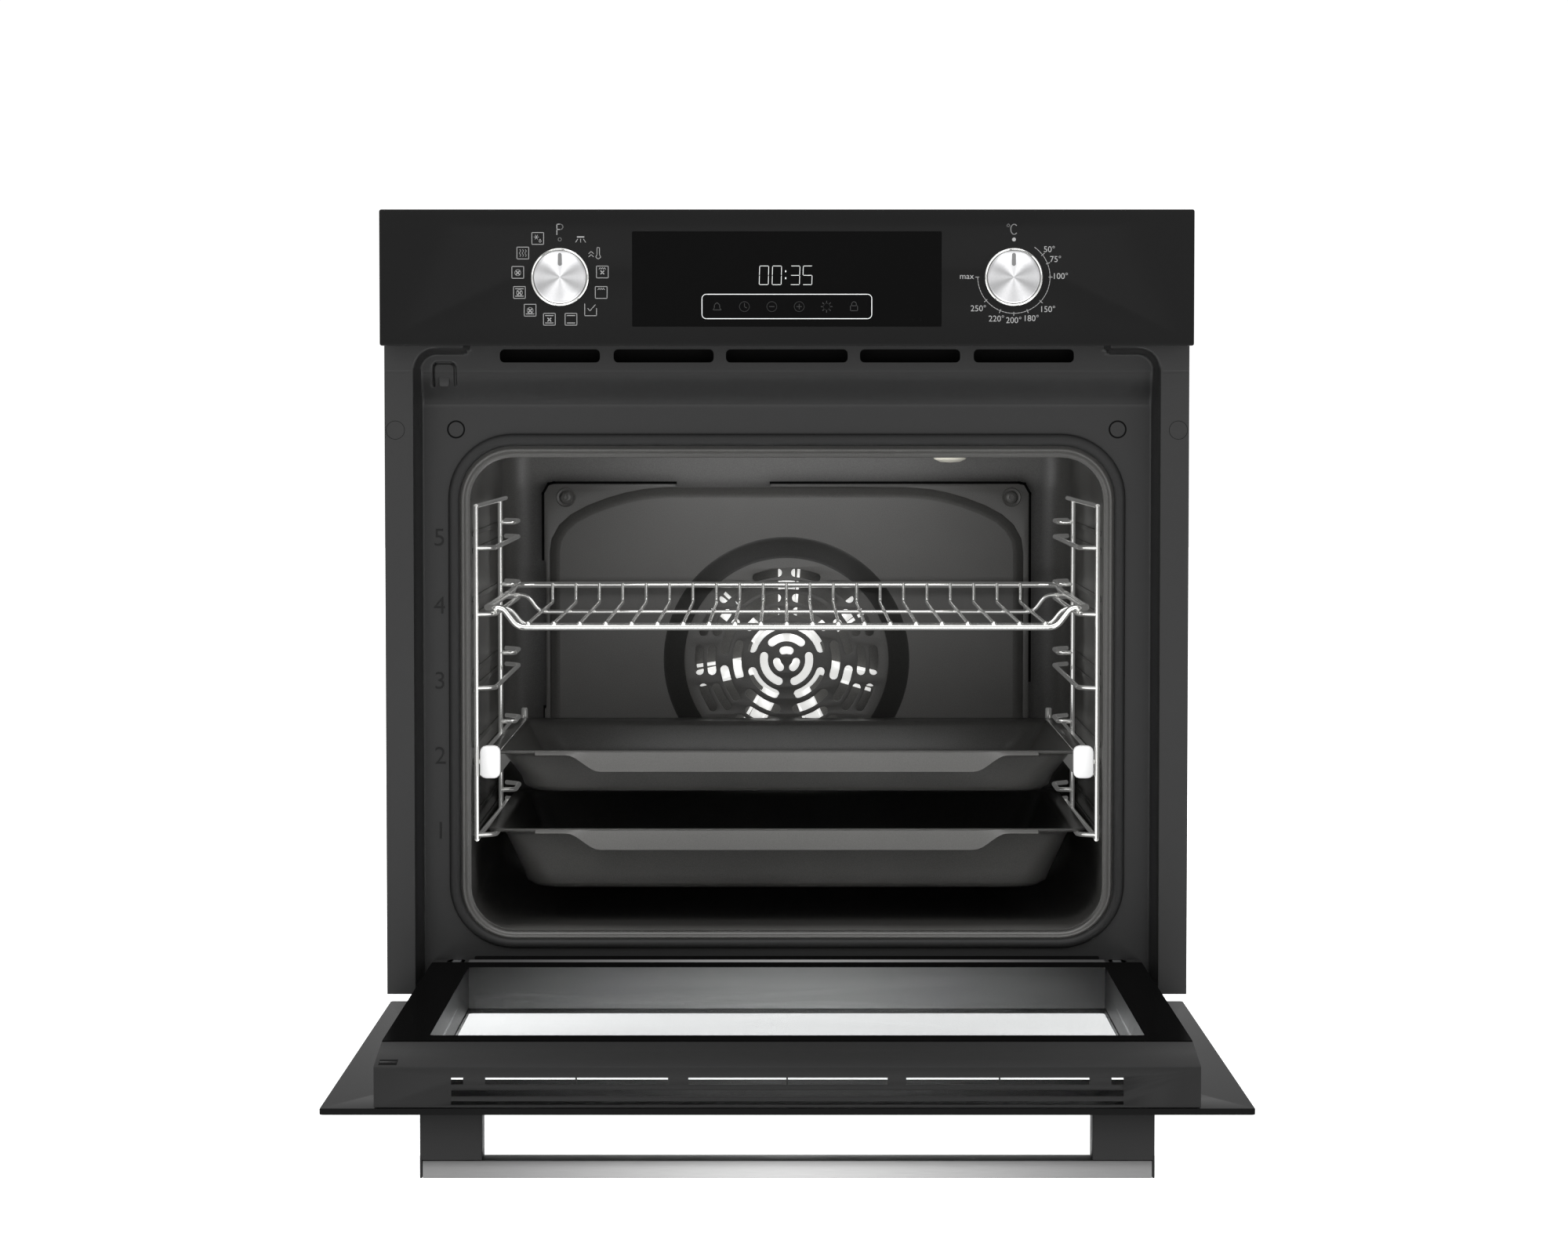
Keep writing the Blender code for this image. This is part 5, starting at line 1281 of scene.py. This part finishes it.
class OVEN_OT_handle(OvenPieceOperator, bpy.types.Operator):
    """Make the brushed handle bar on its two black posts."""

    bl_idname = "oven.handle"
    bl_label = "Handle"

    def execute(self, context):
        (x0, x1), (front, back), (low, high) = cad_span("handle_bar")
        bar = Shape()
        section = rounded((front, back), (low, high), 0.7, 3)
        bar.slab(section, x0 + 0.1, x1 - 0.1, 0.1, plane="yz")
        bar.piece("handle_bar_brushed", [FINISH["steel"]], "door", ["handle_bar"], "brushed_steel", sharp=25)
        for name, side in (("left", -1), ("right", 1)):
            (x0, x1), (front, back), (low, high) = cad_span("handle_post_" + name)
            post = Shape()
            bar_top = cad_span("handle_bar")[2][1] + 0.3
            post.slab(rounded((x0, x1), (front + 0.1, back - 0.1), 1.2, 4), bar_top, high, 0.3, plane="xy")
            cap = sorted((side * 233.6, side * 235.0))
            post.slab(rounded((front, back), (low, bar_top + 3), 0.8, 3), cap[0], cap[1], 0.2, plane="yz")
            post.piece("handle_post_moulded_" + name, [FINISH["plastic"]], "door", ["handle_post_" + name],
                       "black_plastic", sharp=25)
        return {"FINISHED"}


SEGMENTS = {"0": "abcdef", "3": "abgcd", "5": "afgcd"}


def heating_mark(ink, x, z, parts):
    """A cooking function's mark: a small square with the parts that work drawn in it."""
    h, line = 4.3, 0.42
    if "box" in parts:
        ink.stroke([(x - h, z - h), (x + h, z - h), (x + h, z + h), (x - h, z + h)], line, -0.02, shut=True)
    if "top" in parts:
        ink.stroke([(x - h + 1.5, z + h - 1.6), (x + h - 1.5, z + h - 1.6)], line * 1.2, -0.02)
    if "bottom" in parts:
        ink.stroke([(x - h + 1.5, z - h + 1.6), (x + h - 1.5, z - h + 1.6)], line * 1.2, -0.02)
    if "grill" in parts:
        zig = [(x - 2.4 + 0.8 * n, z + h - (1.1 if n % 2 else 2.3)) for n in range(7)]
        ink.stroke(zig, line * 0.8, -0.02)
    if "fan" in parts:
        for turn in (45, 135, 225, 315):
            a = radians(turn)
            u, v = x + 1.5 * cos(a), z - 0.3 + 1.5 * sin(a)
            ink.stroke([(x, z - 0.3), (u, v)], line * 1.7, -0.02)
    if "ring" in parts:
        ink.stroke(circle((x, z - 0.2), 2.2, 16), line * 0.8, -0.02, shut=True)
    if "waves" in parts:
        for dx in (-2, 0, 2):
            wave = [(x + dx + 0.5 * sin(n * 1.2), z - 2.4 + 0.6 * n) for n in range(9)]
            ink.stroke(wave, line * 0.9, -0.02)
    if "drop" in parts:
        for turn in (0, 60, 120):
            a = radians(turn)
            ink.stroke([
                (x - 1.0 - 1.7 * cos(a), z + 1 - 1.7 * sin(a)), (x - 1.0 + 1.7 * cos(a), z + 1 + 1.7 * sin(a)),
            ], line * 0.8, -0.02)
        ink.stroke([(x + 1.7, z - 0.4), (x + 2.6, z - 2.1), (x + 1.7, z - 2.9), (x + 0.8, z - 2.1)],
                   line * 0.8, -0.02, shut=True)
    if "steam" in parts:
        ink.stroke([(x - h, z + h), (x - h, z - h), (x + h, z - h), (x + h, z + 1)], line, -0.02)
        ink.stroke([(x - 2, z + 1), (x - 0.5, z - 0.8), (x + 1, z + 1), (x + 3.4, z + 3.6)], line, -0.02)


class OVEN_OT_control_panel(OvenPieceOperator, bpy.types.Operator):
    """Cut the control panel's glass and print its marks, display and touch keys."""

    bl_idname = "oven.control_panel"
    bl_label = "Control Panel"

    def execute(self, context):
        (x0, x1), _, (low, high) = cad_span("control_panel")
        panel = Shape()
        holes = [circle((side * KNOB_X, KNOB_Z), 20.9, 64) for side in (-1, 1)]
        panel.sheet([rounded((x0, x1), (low, high), 1.6, 4), *holes], 0.0, 4.0, 0.5)
        panel.piece("panel_glass", [FINISH["panel"]], "housing", ["control_panel"], "black_glass")
        display = Shape()
        display.sheet([rounded((-113, 113), (509.6, 579.0), 0.8, 3)], -0.05, -0.005)
        display.piece("display_window", [FINISH["display"]], "housing", slot="black_glass", tidy=False)
        digits = Shape()
        lean, tall, wide = 0.35, 13.6, 6.6
        for text, x in (("0", -20.2), ("0", -10.8), ("3", 2.6), ("5", 11.6)):
            z = 540.2
            mid = tall / 2
            ends = {
                "a": ((0, tall), (wide, tall)), "b": ((wide, tall), (wide, mid)), "c": ((wide, mid), (wide, 0)),
                "d": ((0, 0), (wide, 0)), "e": ((0, 0), (0, mid)), "f": ((0, mid), (0, tall)),
                "g": ((0, mid), (wide, mid)),
            }
            for segment in SEGMENTS[text]:
                (u0, v0), (u1, v1) = ends[segment]
                trim = 0.45 / (hypot(u1 - u0, v1 - v0) or 1)
                du, dv = (u1 - u0) * trim, (v1 - v0) * trim
                digits.stroke([
                    (x + u0 + du + lean * v0 / tall, z + v0 + dv), (x + u1 - du + lean * v1 / tall, z + v1 - dv),
                ], 0.34, -0.06)
        for z in (544.6, 549.6):
            digits.stroke([(-0.9, z), (-0.9, z + 0.6)], 0.7, -0.06)
        digits.stroke(rounded((-62, 62), (515.4, 533.2), 3.2, 6), 0.5, -0.06, shut=True)
        digits.piece("time_display", [FINISH["digit"]], "housing", slot="white_ceramic", tidy=False)
        ink, faint = Shape(), Shape()
        for n, x in enumerate((-51, -31, -11, 9, 29, 49)):
            z = 524.2
            if n == 0:
                faint.stroke([(x - 3, z - 2.4), (x - 2, z - 1), (x - 1.8, z + 1.4), (x, z + 3), (x + 1.8, z + 1.4),
                              (x + 2, z - 1), (x + 3, z - 2.4)], 0.5, -0.06, shut=True)
            elif n == 5:
                faint.stroke([(x - 2.6, z - 3), (x + 2.6, z - 3), (x + 2.6, z + 0.6), (x - 2.6, z + 0.6)],
                             0.5, -0.06, shut=True)
                faint.stroke([(x - 1.7, z + 0.6), (x - 1.7, z + 2.6), (x, z + 3.8), (x + 1.7, z + 2.6),
                              (x + 1.7, z + 0.6)], 0.5, -0.06)
            else:
                faint.stroke(circle((x, z), 3.6 if n < 4 else 2.4, 24), 0.5, -0.06, shut=True)
                if n == 1:
                    faint.stroke([(x, z + 2.2), (x, z), (x + 1.5, z - 0.9)], 0.5, -0.06)
                if n in (2, 3):
                    faint.stroke([(x - 1.7, z), (x + 1.7, z)], 0.5, -0.06)
                if n == 3:
                    faint.stroke([(x, z - 1.7), (x, z + 1.7)], 0.5, -0.06)
                if n == 4:
                    for turn in range(0, 360, 45):
                        a = radians(turn)
                        faint.stroke([(x + 2.6 * cos(a), z + 2.6 * sin(a)), (x + 4 * cos(a), z + 4 * sin(a))],
                                     0.5, -0.06)
        x, z = -KNOB_X, KNOB_Z
        bowl = [(x + 0.4 + 1.9 * cos(radians(a)), z + 36.6 + 1.9 * sin(radians(a))) for a in range(90, -91, -20)]
        ink.stroke([(x - 2.1, z + 31.0), (x - 2.1, z + 38.5), *bowl, (x - 2.1, z + 34.7)], 0.55, -0.02)
        ink.stroke(circle((x, z + 27.4), 1.2, 16), 0.4, -0.02, shut=True)
        marks = (
            ((31.0, 3.73), "box grill fan"), ((30.13, -11.19), "box grill"), ((22.39, -23.82), "steam"),
            ((8.04, -30.71), "box top bottom"), ((-7.75, -30.71), "box top bottom fan"),
            ((-21.81, -24.11), "box bottom fan ring"), ((-29.56, -11.19), "box top bottom fan ring"),
            ((-30.71, 3.44), "box fan ring"), ((-26.98, 17.51), "box waves"), ((-16.07, 28.13), "box drop"),
        )
        for (dx, dz), parts in marks:
            heating_mark(ink, x + dx, z + dz, parts.split())
        lamp_x, lamp_z = x + 15.21, z + 28.41
        ink.stroke([(lamp_x - 2.2, lamp_z + 0.8), (lamp_x + 2.2, lamp_z + 0.8)], 0.9, -0.02)
        for dx in (-3.6, 0, 3.6):
            ink.stroke([(lamp_x + dx * 0.6, lamp_z - 0.8), (lamp_x + dx, lamp_z - 3.0)], 0.4, -0.02)
        heat_x, heat_z = x + 25.54, z + 17.51
        ink.stroke([(heat_x + 1.6, heat_z + 4), (heat_x + 3.4, heat_z + 4), (heat_x + 3.4, heat_z - 1.2),
                    (heat_x + 4.4, heat_z - 3), (heat_x + 2.5, heat_z - 4.4), (heat_x + 0.6, heat_z - 3),
                    (heat_x + 1.6, heat_z - 1.2)], 0.4, -0.02, shut=True)
        for dz in (-1.5, 0.8):
            ink.stroke([
                (heat_x - 4.4, heat_z + dz - 1.2), (heat_x - 2.7, heat_z + dz + 0.4), (heat_x - 1, heat_z + dz - 1.2),
            ], 0.4, -0.02)
        x = KNOB_X
        arch = [(x + 0.1 + 2.5 * cos(radians(a)), z + 34.8 + 3.7 * sin(radians(a))) for a in range(50, 311, 20)]
        ink.stroke(arch, 0.55, -0.02)
        ink.stroke(circle((x - 4.2, z + 37.6), 0.9, 12), 0.45, -0.02, shut=True)
        ink.sheet([circle((x, z + 27.4), 1.4, 16)], -0.05, -0.02)
        arc = [(x + 26.4 * cos(radians(a)), z + 26.4 * sin(radians(a))) for a in range(-180, 56, 5)]
        ink.stroke(arc, 0.42, -0.02)
        scale = (
            ("50°", 25.83, 20.38, 38), ("75°", 30.42, 13.2, 22), ("100°", 33.87, 0.86, 0), ("150°", 24.68, -23.25, -42),
            ("180°", 12.63, -29.85, -68), ("200°", 0, -31.28, -90), ("220°", -12.63, -30.13, -112),
            ("250°", -25.83, -22.67, -140), ("max", -34.44, 0.86, 180),
        )
        for text, dx, dz, angle in scale:
            ink.lettering(text, x + dx, z + dz - 2.2, 6.2, 0.04, 0)
            a = radians(angle)
            ink.stroke([(x + 25.6 * cos(a), z + 25.6 * sin(a)), (x + 28.0 * cos(a), z + 28.0 * sin(a))], 0.45, -0.02)
        ink.piece("panel_print", [FINISH["print"]], "housing", slot="white_ceramic", tidy=False)
        faint.piece("touch_key_print", [FINISH["faint"]], "housing", slot="black_glass", tidy=False)
        return {"FINISHED"}


class OVEN_OT_knobs(OvenPieceOperator, bpy.types.Operator):
    """Turn the two push-in knobs and their rings."""

    bl_idname = "oven.knobs"
    bl_label = "Knobs"

    def execute(self, context):
        for name in ("function", "temperature"):
            x, (front, back), z = cad_span(name + "_knob")
            centre = ((x[0] + x[1]) / 2, (z[0] + z[1]) / 2)
            radius = (x[1] - x[0]) / 2
            knob = Shape()
            knob.turn((
                (0.01, front + 0.9), (radius - 8, front + 0.75), (radius - 2.2, front + 0.35),
                (radius - 1.2, front + 0.1),
                (radius - 0.5, front + 0.25), (radius, front + 0.9), (radius, back - 0.5),
            ), centre, 0, 96)
            knob.turn((
                (radius, back - 0.5), (radius - 1.5, back), (radius - 1.5, front + 6), (4.5, front + 6), (4.5, back),
                (3.4, back), (3.4, front + 7), (0.01, front + 7),
            ), centre, 1, 48)
            knob.piece(name + "_knob_spun", [FINISH["knob"], FINISH["plastic"]], name + "_knob", [name + "_knob"],
                       "brushed_steel", sharp=30)
            line = Shape()
            line.slab(rounded((centre[0] - 1.45, centre[0] + 1.45), (centre[1] + 8.2, centre[1] + 17.6), 1.4, 6),
                      front + 0.16, front + 0.9, 0.05)
            line.piece(name + "_knob_line", [FINISH["line"]], name + "_knob", slot="black_plastic")
            (bx0, bx1), (near, far), _ = cad_span(name + "_bezel")
            outer, bore = (bx1 - bx0) / 2, radius + 0.42
            ring = Shape()
            ring.turn((
                (bore, far), (bore, near + 1.0), (bore + 0.25, near + 0.4), (outer - 0.5, near), (outer, near + 0.5),
                (outer, 0.95), (bore + 0.9, 1.0), (bore + 0.9, far),
            ), centre, 0, 96, joined=True)
            ring.piece(name + "_bezel_ring", [FINISH["chrome"]], "housing", [name + "_bezel"], "brushed_steel",
                       sharp=30)
        return {"FINISHED"}


class OVEN_OT_housing(OvenPieceOperator, bpy.types.Operator):
    """Give the housing its screws, louvres and plates, and every carried-over part its finish."""

    bl_idname = "oven.housing"
    bl_label = "Housing and Inside Parts"

    def execute(self, context):
        side_x = cad_span("side_panel_right")[0][1]
        rear_y = cad_span("rear_cover")[1][1]
        screws = []
        for z in (30, 180, 330, 480, 565):
            for x in (-268, 268):
                screws.append(((x, rear_y, z), (0, 1, 0)))
        for y in (60, 200, 340, 480):
            screws.append(((-side_x, y, 560), (-1, 0, 0)))
            screws.append(((side_x, y, 560), (1, 0, 0)))
        for x in (-240, 0, 240):
            screws.append(((x, rear_y, 575), (0, 1, 0)))
        heads = set_out(screw_head(3.6, 1.6), screws, FINISH["zinc"])
        settle("housing_screws", heads, "housing")
        louvre = Shape()
        arch = ((0, -3.2), (1.6, -2.6), (2.6, 0.4), (2.2, 2.2), (0.0, 3.0))
        louvre.loft([[(x * k, y * m, z) for y, z in arch] for x, k, m in (
            (-17, 1, 0.02), (-16, 1, 0.7), (-14, 1, 1), (14, 1, 1), (16, 1, 0.7), (17, 1, 0.02))], ring_shut=True,
            first=True, last=True)
        places = [((x, rear_y, z), (0, 1, 0)) for z in range(300, 470, 14) for x in (-150, -105, 105, 150)]
        places += [((x, rear_y, z), (0, 1, 0)) for z in range(80, 160, 14) for x in (-45, 0, 45)]
        settle("rear_louvres", set_out(louvre, places, FINISH["zinc"]), "housing")
        guard = Shape()
        holes = [circle((0, FAN_Z), 3.2, 20)]
        for radius, count in ((10, 3), (18, 6), (26, 8), (34, 10)):
            for n in range(count):
                holes.append(curved_slot(radius, 360 * n / count, 150 / count, 4.4, (0, FAN_Z)))
        guard.sheet([circle((0, FAN_Z), 42, 64), *holes], rear_y, rear_y + 1.0, 0.2)
        guard.piece("rear_motor_guard", [FINISH["zinc"]], "housing", slot="zinc_steel")
        block = cad_span("terminal_block")
        terminals = Shape()
        terminals.block(block[0], block[1], block[2], 1.2, 0, 2.5)
        for x in spread(block[0][0] + 10, block[0][1] - 10, 10):
            terminals.block((x - 3, x + 3), (block[1][1] - 2.2, block[1][1] - 0.02),
                            (block[2][0] + 5, block[2][0] + 13), 0.4, 1)
        terminals.block((block[0][0] + 4, block[0][1] - 4), (block[1][1] - 1.5, block[1][1] - 0.01),
                        (block[2][1] - 14, block[2][1] - 4), 0.4, 0, 1.5)
        terminals.piece("terminal_cover", [FINISH["plastic"], FINISH["zinc"]], "housing", ["terminal_block"],
                        "black_plastic")
        x, y, z = cad_span("lamp_cover")
        centre, radius = ((x[0] + x[1]) / 2, (y[0] + y[1]) / 2), (x[1] - x[0]) / 2
        lamp = Shape()
        lamp.turn((
            (0.01, z[0]), (radius * 0.45, z[0] + 0.6), (radius * 0.72, z[0] + 2.6), (radius * 0.84, z[0] + 6),
            (radius * 0.86, z[0] + 9),
            (radius, z[0] + 9.6), (radius, z[1] - 0.5), (radius * 0.8, z[1] - 0.5), (radius * 0.8, z[0] + 9),
            (radius * 0.66, z[0] + 4.4), (0.01, z[0] + 2.4),
        ), centre, 0, 48, axis="z")
        lamp.piece("lamp_glass", [FINISH["lamp"]], "housing", ["lamp_cover"], "clear_glass")
        finishes = {
            "zinc": ("side_panel_left", "side_panel_right", "top_cover", "rear_cover", "base_pan", "air_duct",
                     "fan_deck", "cooling_fan_housing", "hinge_arm_left", "hinge_arm_right"),
            "wool": ("insulation",),
            "heater": ("grill_element", "bottom_element", "ring_element", "temperature_probe"),
            "copper": ("cooling_fan_motor", "convection_motor"), "plastic": ("panel_carrier", "display_module"),
            "board": ("control_board",), "ceramic": ("function_selector", "temperature_selector"),
            "chrome": ("function_spindle", "temperature_spindle"), "lamp": ("lamp_bulb",),
            "enamel": ("door_side_left", "door_side_right"), "foot": ("door_bottom_profile",),
        }
        for finish, names in finishes.items():
            for name in names:
                for material_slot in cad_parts[name].material_slots:
                    material_slot.material = FINISH[finish]
        return {"FINISHED"}


class OVEN_OT_stage(OvenPieceOperator, bpy.types.Operator):
    """Lay the pale floor and set the light and the camera."""

    bl_idname = "oven.stage"
    bl_label = "Stage"

    def execute(self, context):
        scene = context.scene
        ground = bpy.data.meshes.new("floor")
        z = -0.115
        ground.from_pydata([(-9, -9, z), (9, -9, z), (9, 14, z), (-9, 14, z)], [], [(0, 1, 2, 3)])
        pale = new_finish(
            "Pale floor", (0.86, 0.86, 0.86), 0.9, vary=0.01, grain=3, bump=0, specular=0.0, glow=0.85,
        )
        ground.materials.append(pale)
        floor = bpy.data.objects.new("floor", ground)
        scene.collection.objects.link(floor)
        world = bpy.data.worlds.new("studio")
        scene.world = world
        world.use_nodes = True
        nodes, links = world.node_tree.nodes, world.node_tree.links
        sky = nodes["Background"]
        sky.inputs["Color"].default_value = (1, 1, 1, 1)
        path = nodes.new("ShaderNodeLightPath")
        level = nodes.new("ShaderNodeMapRange")
        level.inputs["To Max"].default_value = 1.05
        links.new(path.outputs["Is Camera Ray"], level.inputs["Value"])
        toward = nodes.new("ShaderNodeTexCoord")
        split = nodes.new("ShaderNodeSeparateXYZ")
        rise = nodes.new("ShaderNodeMapRange")
        rise.inputs["From Min"].default_value, rise.inputs["From Max"].default_value = -0.1, 0.7
        rise.inputs["To Min"].default_value = scene.oven_sizes.room_light
        rise.inputs["To Max"].default_value = scene.oven_sizes.room_light * 1.7
        links.new(toward.outputs["Generated"], split.inputs["Vector"])
        links.new(split.outputs["Z"], rise.inputs["Value"])
        links.new(rise.outputs["Result"], level.inputs["To Min"])
        links.new(level.outputs["Result"], sky.inputs["Strength"])
        for name, spot, aim, size, power in (
            ("key", (-1.6, -3.0, 2.3), (0, 0, 0.3), (1.2, 0.8), 22),
            ("fill", (2.2, -2.6, 1.2), (0, 0, 0.3), (0.8, 1.6), 8),
            ("overhead", (0.0, -0.9, 2.4), (0, 0.2, 0.2), (2.2, 1.2), 30),
            ("cavity", (0.0, -0.08, 0.402), (0, 0.16, 0.22), (0.26, 0.05), 0.16),
        ):
            light = bpy.data.lights.new(name, "AREA")
            light.shape, light.size, light.size_y, light.energy = "RECTANGLE", size[0], size[1], power
            lamp = bpy.data.objects.new(name, light)
            lamp.location = spot
            lamp.rotation_euler = (Vector(aim) - Vector(spot)).to_track_quat("-Z", "Y").to_euler()
            scene.collection.objects.link(lamp)
        camera = bpy.data.cameras.new("camera")
        camera.sensor_width, camera.lens = 36, 97.02
        eye = bpy.data.objects.new("camera", camera)
        eye.location = (-0.0021, -3.40565, 0.4481)
        eye.rotation_euler = (pi / 2 - 0.0511, 0, 0)
        scene.collection.objects.link(eye)
        scene.camera = eye
        scene.view_settings.view_transform = "Standard"
        return {"FINISHED"}


class OvenSizes(bpy.types.PropertyGroup):
    """Sizes of the oven's wires and the strength of the room's light."""

    rack_wire: FloatProperty(
        name="Rack Wire", description="Diameter of the side racks' wire", default=0.0036, min=0.001, unit="LENGTH",
    )
    shelf_wire: FloatProperty(
        name="Shelf Rim Wire", description="Diameter of the wire shelf's rim", default=0.0050, min=0.001,
        unit="LENGTH",
    )
    cross_wire: FloatProperty(
        name="Shelf Cross Wire", description="Diameter of the shelf's cross wires", default=0.0026, min=0.001,
        unit="LENGTH",
    )
    cross_pitch: FloatProperty(
        name="Cross Wire Pitch", description="Distance between the shelf's cross wires", default=0.0195, min=0.005,
        unit="LENGTH",
    )
    room_light: FloatProperty(
        name="Room Light", description="Strength of the soft light all round", default=0.56, min=0,
    )


class OvenColours(bpy.types.PropertyGroup):
    """Main colours of the oven."""

    enamel: FloatVectorProperty(
        name="Frame Enamel", description="Front frame and door frame", subtype="COLOR", default=(0.012, 0.012, 0.012),
    )
    cavity: FloatVectorProperty(
        name="Cavity Enamel", description="Cavity walls, fan cover and trays", subtype="COLOR",
        default=(0.125, 0.123, 0.118),
    )
    chrome: FloatVectorProperty(
        name="Chrome", description="Racks, runners and wire shelf", subtype="COLOR", default=(0.86, 0.86, 0.84),
    )
    handle: FloatVectorProperty(
        name="Handle Steel", description="Brushed handle bar", subtype="COLOR", default=(0.40, 0.40, 0.40),
    )


PIECE_OPERATORS = (
    OVEN_OT_finishes, OVEN_OT_front_frame, OVEN_OT_cavity, OVEN_OT_fan_cover, OVEN_OT_fans, OVEN_OT_side_racks,
    OVEN_OT_runners, OVEN_OT_wire_shelf, OVEN_OT_trays, OVEN_OT_door_glass, OVEN_OT_door_frame, OVEN_OT_handle,
    OVEN_OT_control_panel, OVEN_OT_knobs, OVEN_OT_housing, OVEN_OT_stage,
)


class OVEN_PT_pieces(bpy.types.Panel):
    """Lists the oven's sizes, colours and piece operators."""

    bl_idname = "OVEN_PT_pieces"
    bl_label = "Built-in Oven"
    bl_space_type = "VIEW_3D"
    bl_region_type = "UI"
    bl_category = "Oven"

    def draw(self, context):
        for group in (context.scene.oven_sizes, context.scene.oven_colours):
            for name in group.__annotations__:
                self.layout.prop(group, name)
        for operator in PIECE_OPERATORS:
            self.layout.operator(operator.bl_idname)


CLASSES = (OvenSizes, OvenColours, *PIECE_OPERATORS, OVEN_PT_pieces)


def register():
    for cls in CLASSES:
        bpy.utils.register_class(cls)
    bpy.types.Scene.oven_sizes = PointerProperty(type=OvenSizes)
    bpy.types.Scene.oven_colours = PointerProperty(type=OvenColours)


def unregister():
    del bpy.types.Scene.oven_colours
    del bpy.types.Scene.oven_sizes
    for cls in reversed(CLASSES):
        bpy.utils.unregister_class(cls)


def main():
    register()
    for operator in PIECE_OPERATORS:
        group, call = operator.bl_idname.split(".")
        getattr(getattr(bpy.ops, group), call)()


if __name__ == "__main__":
    main()
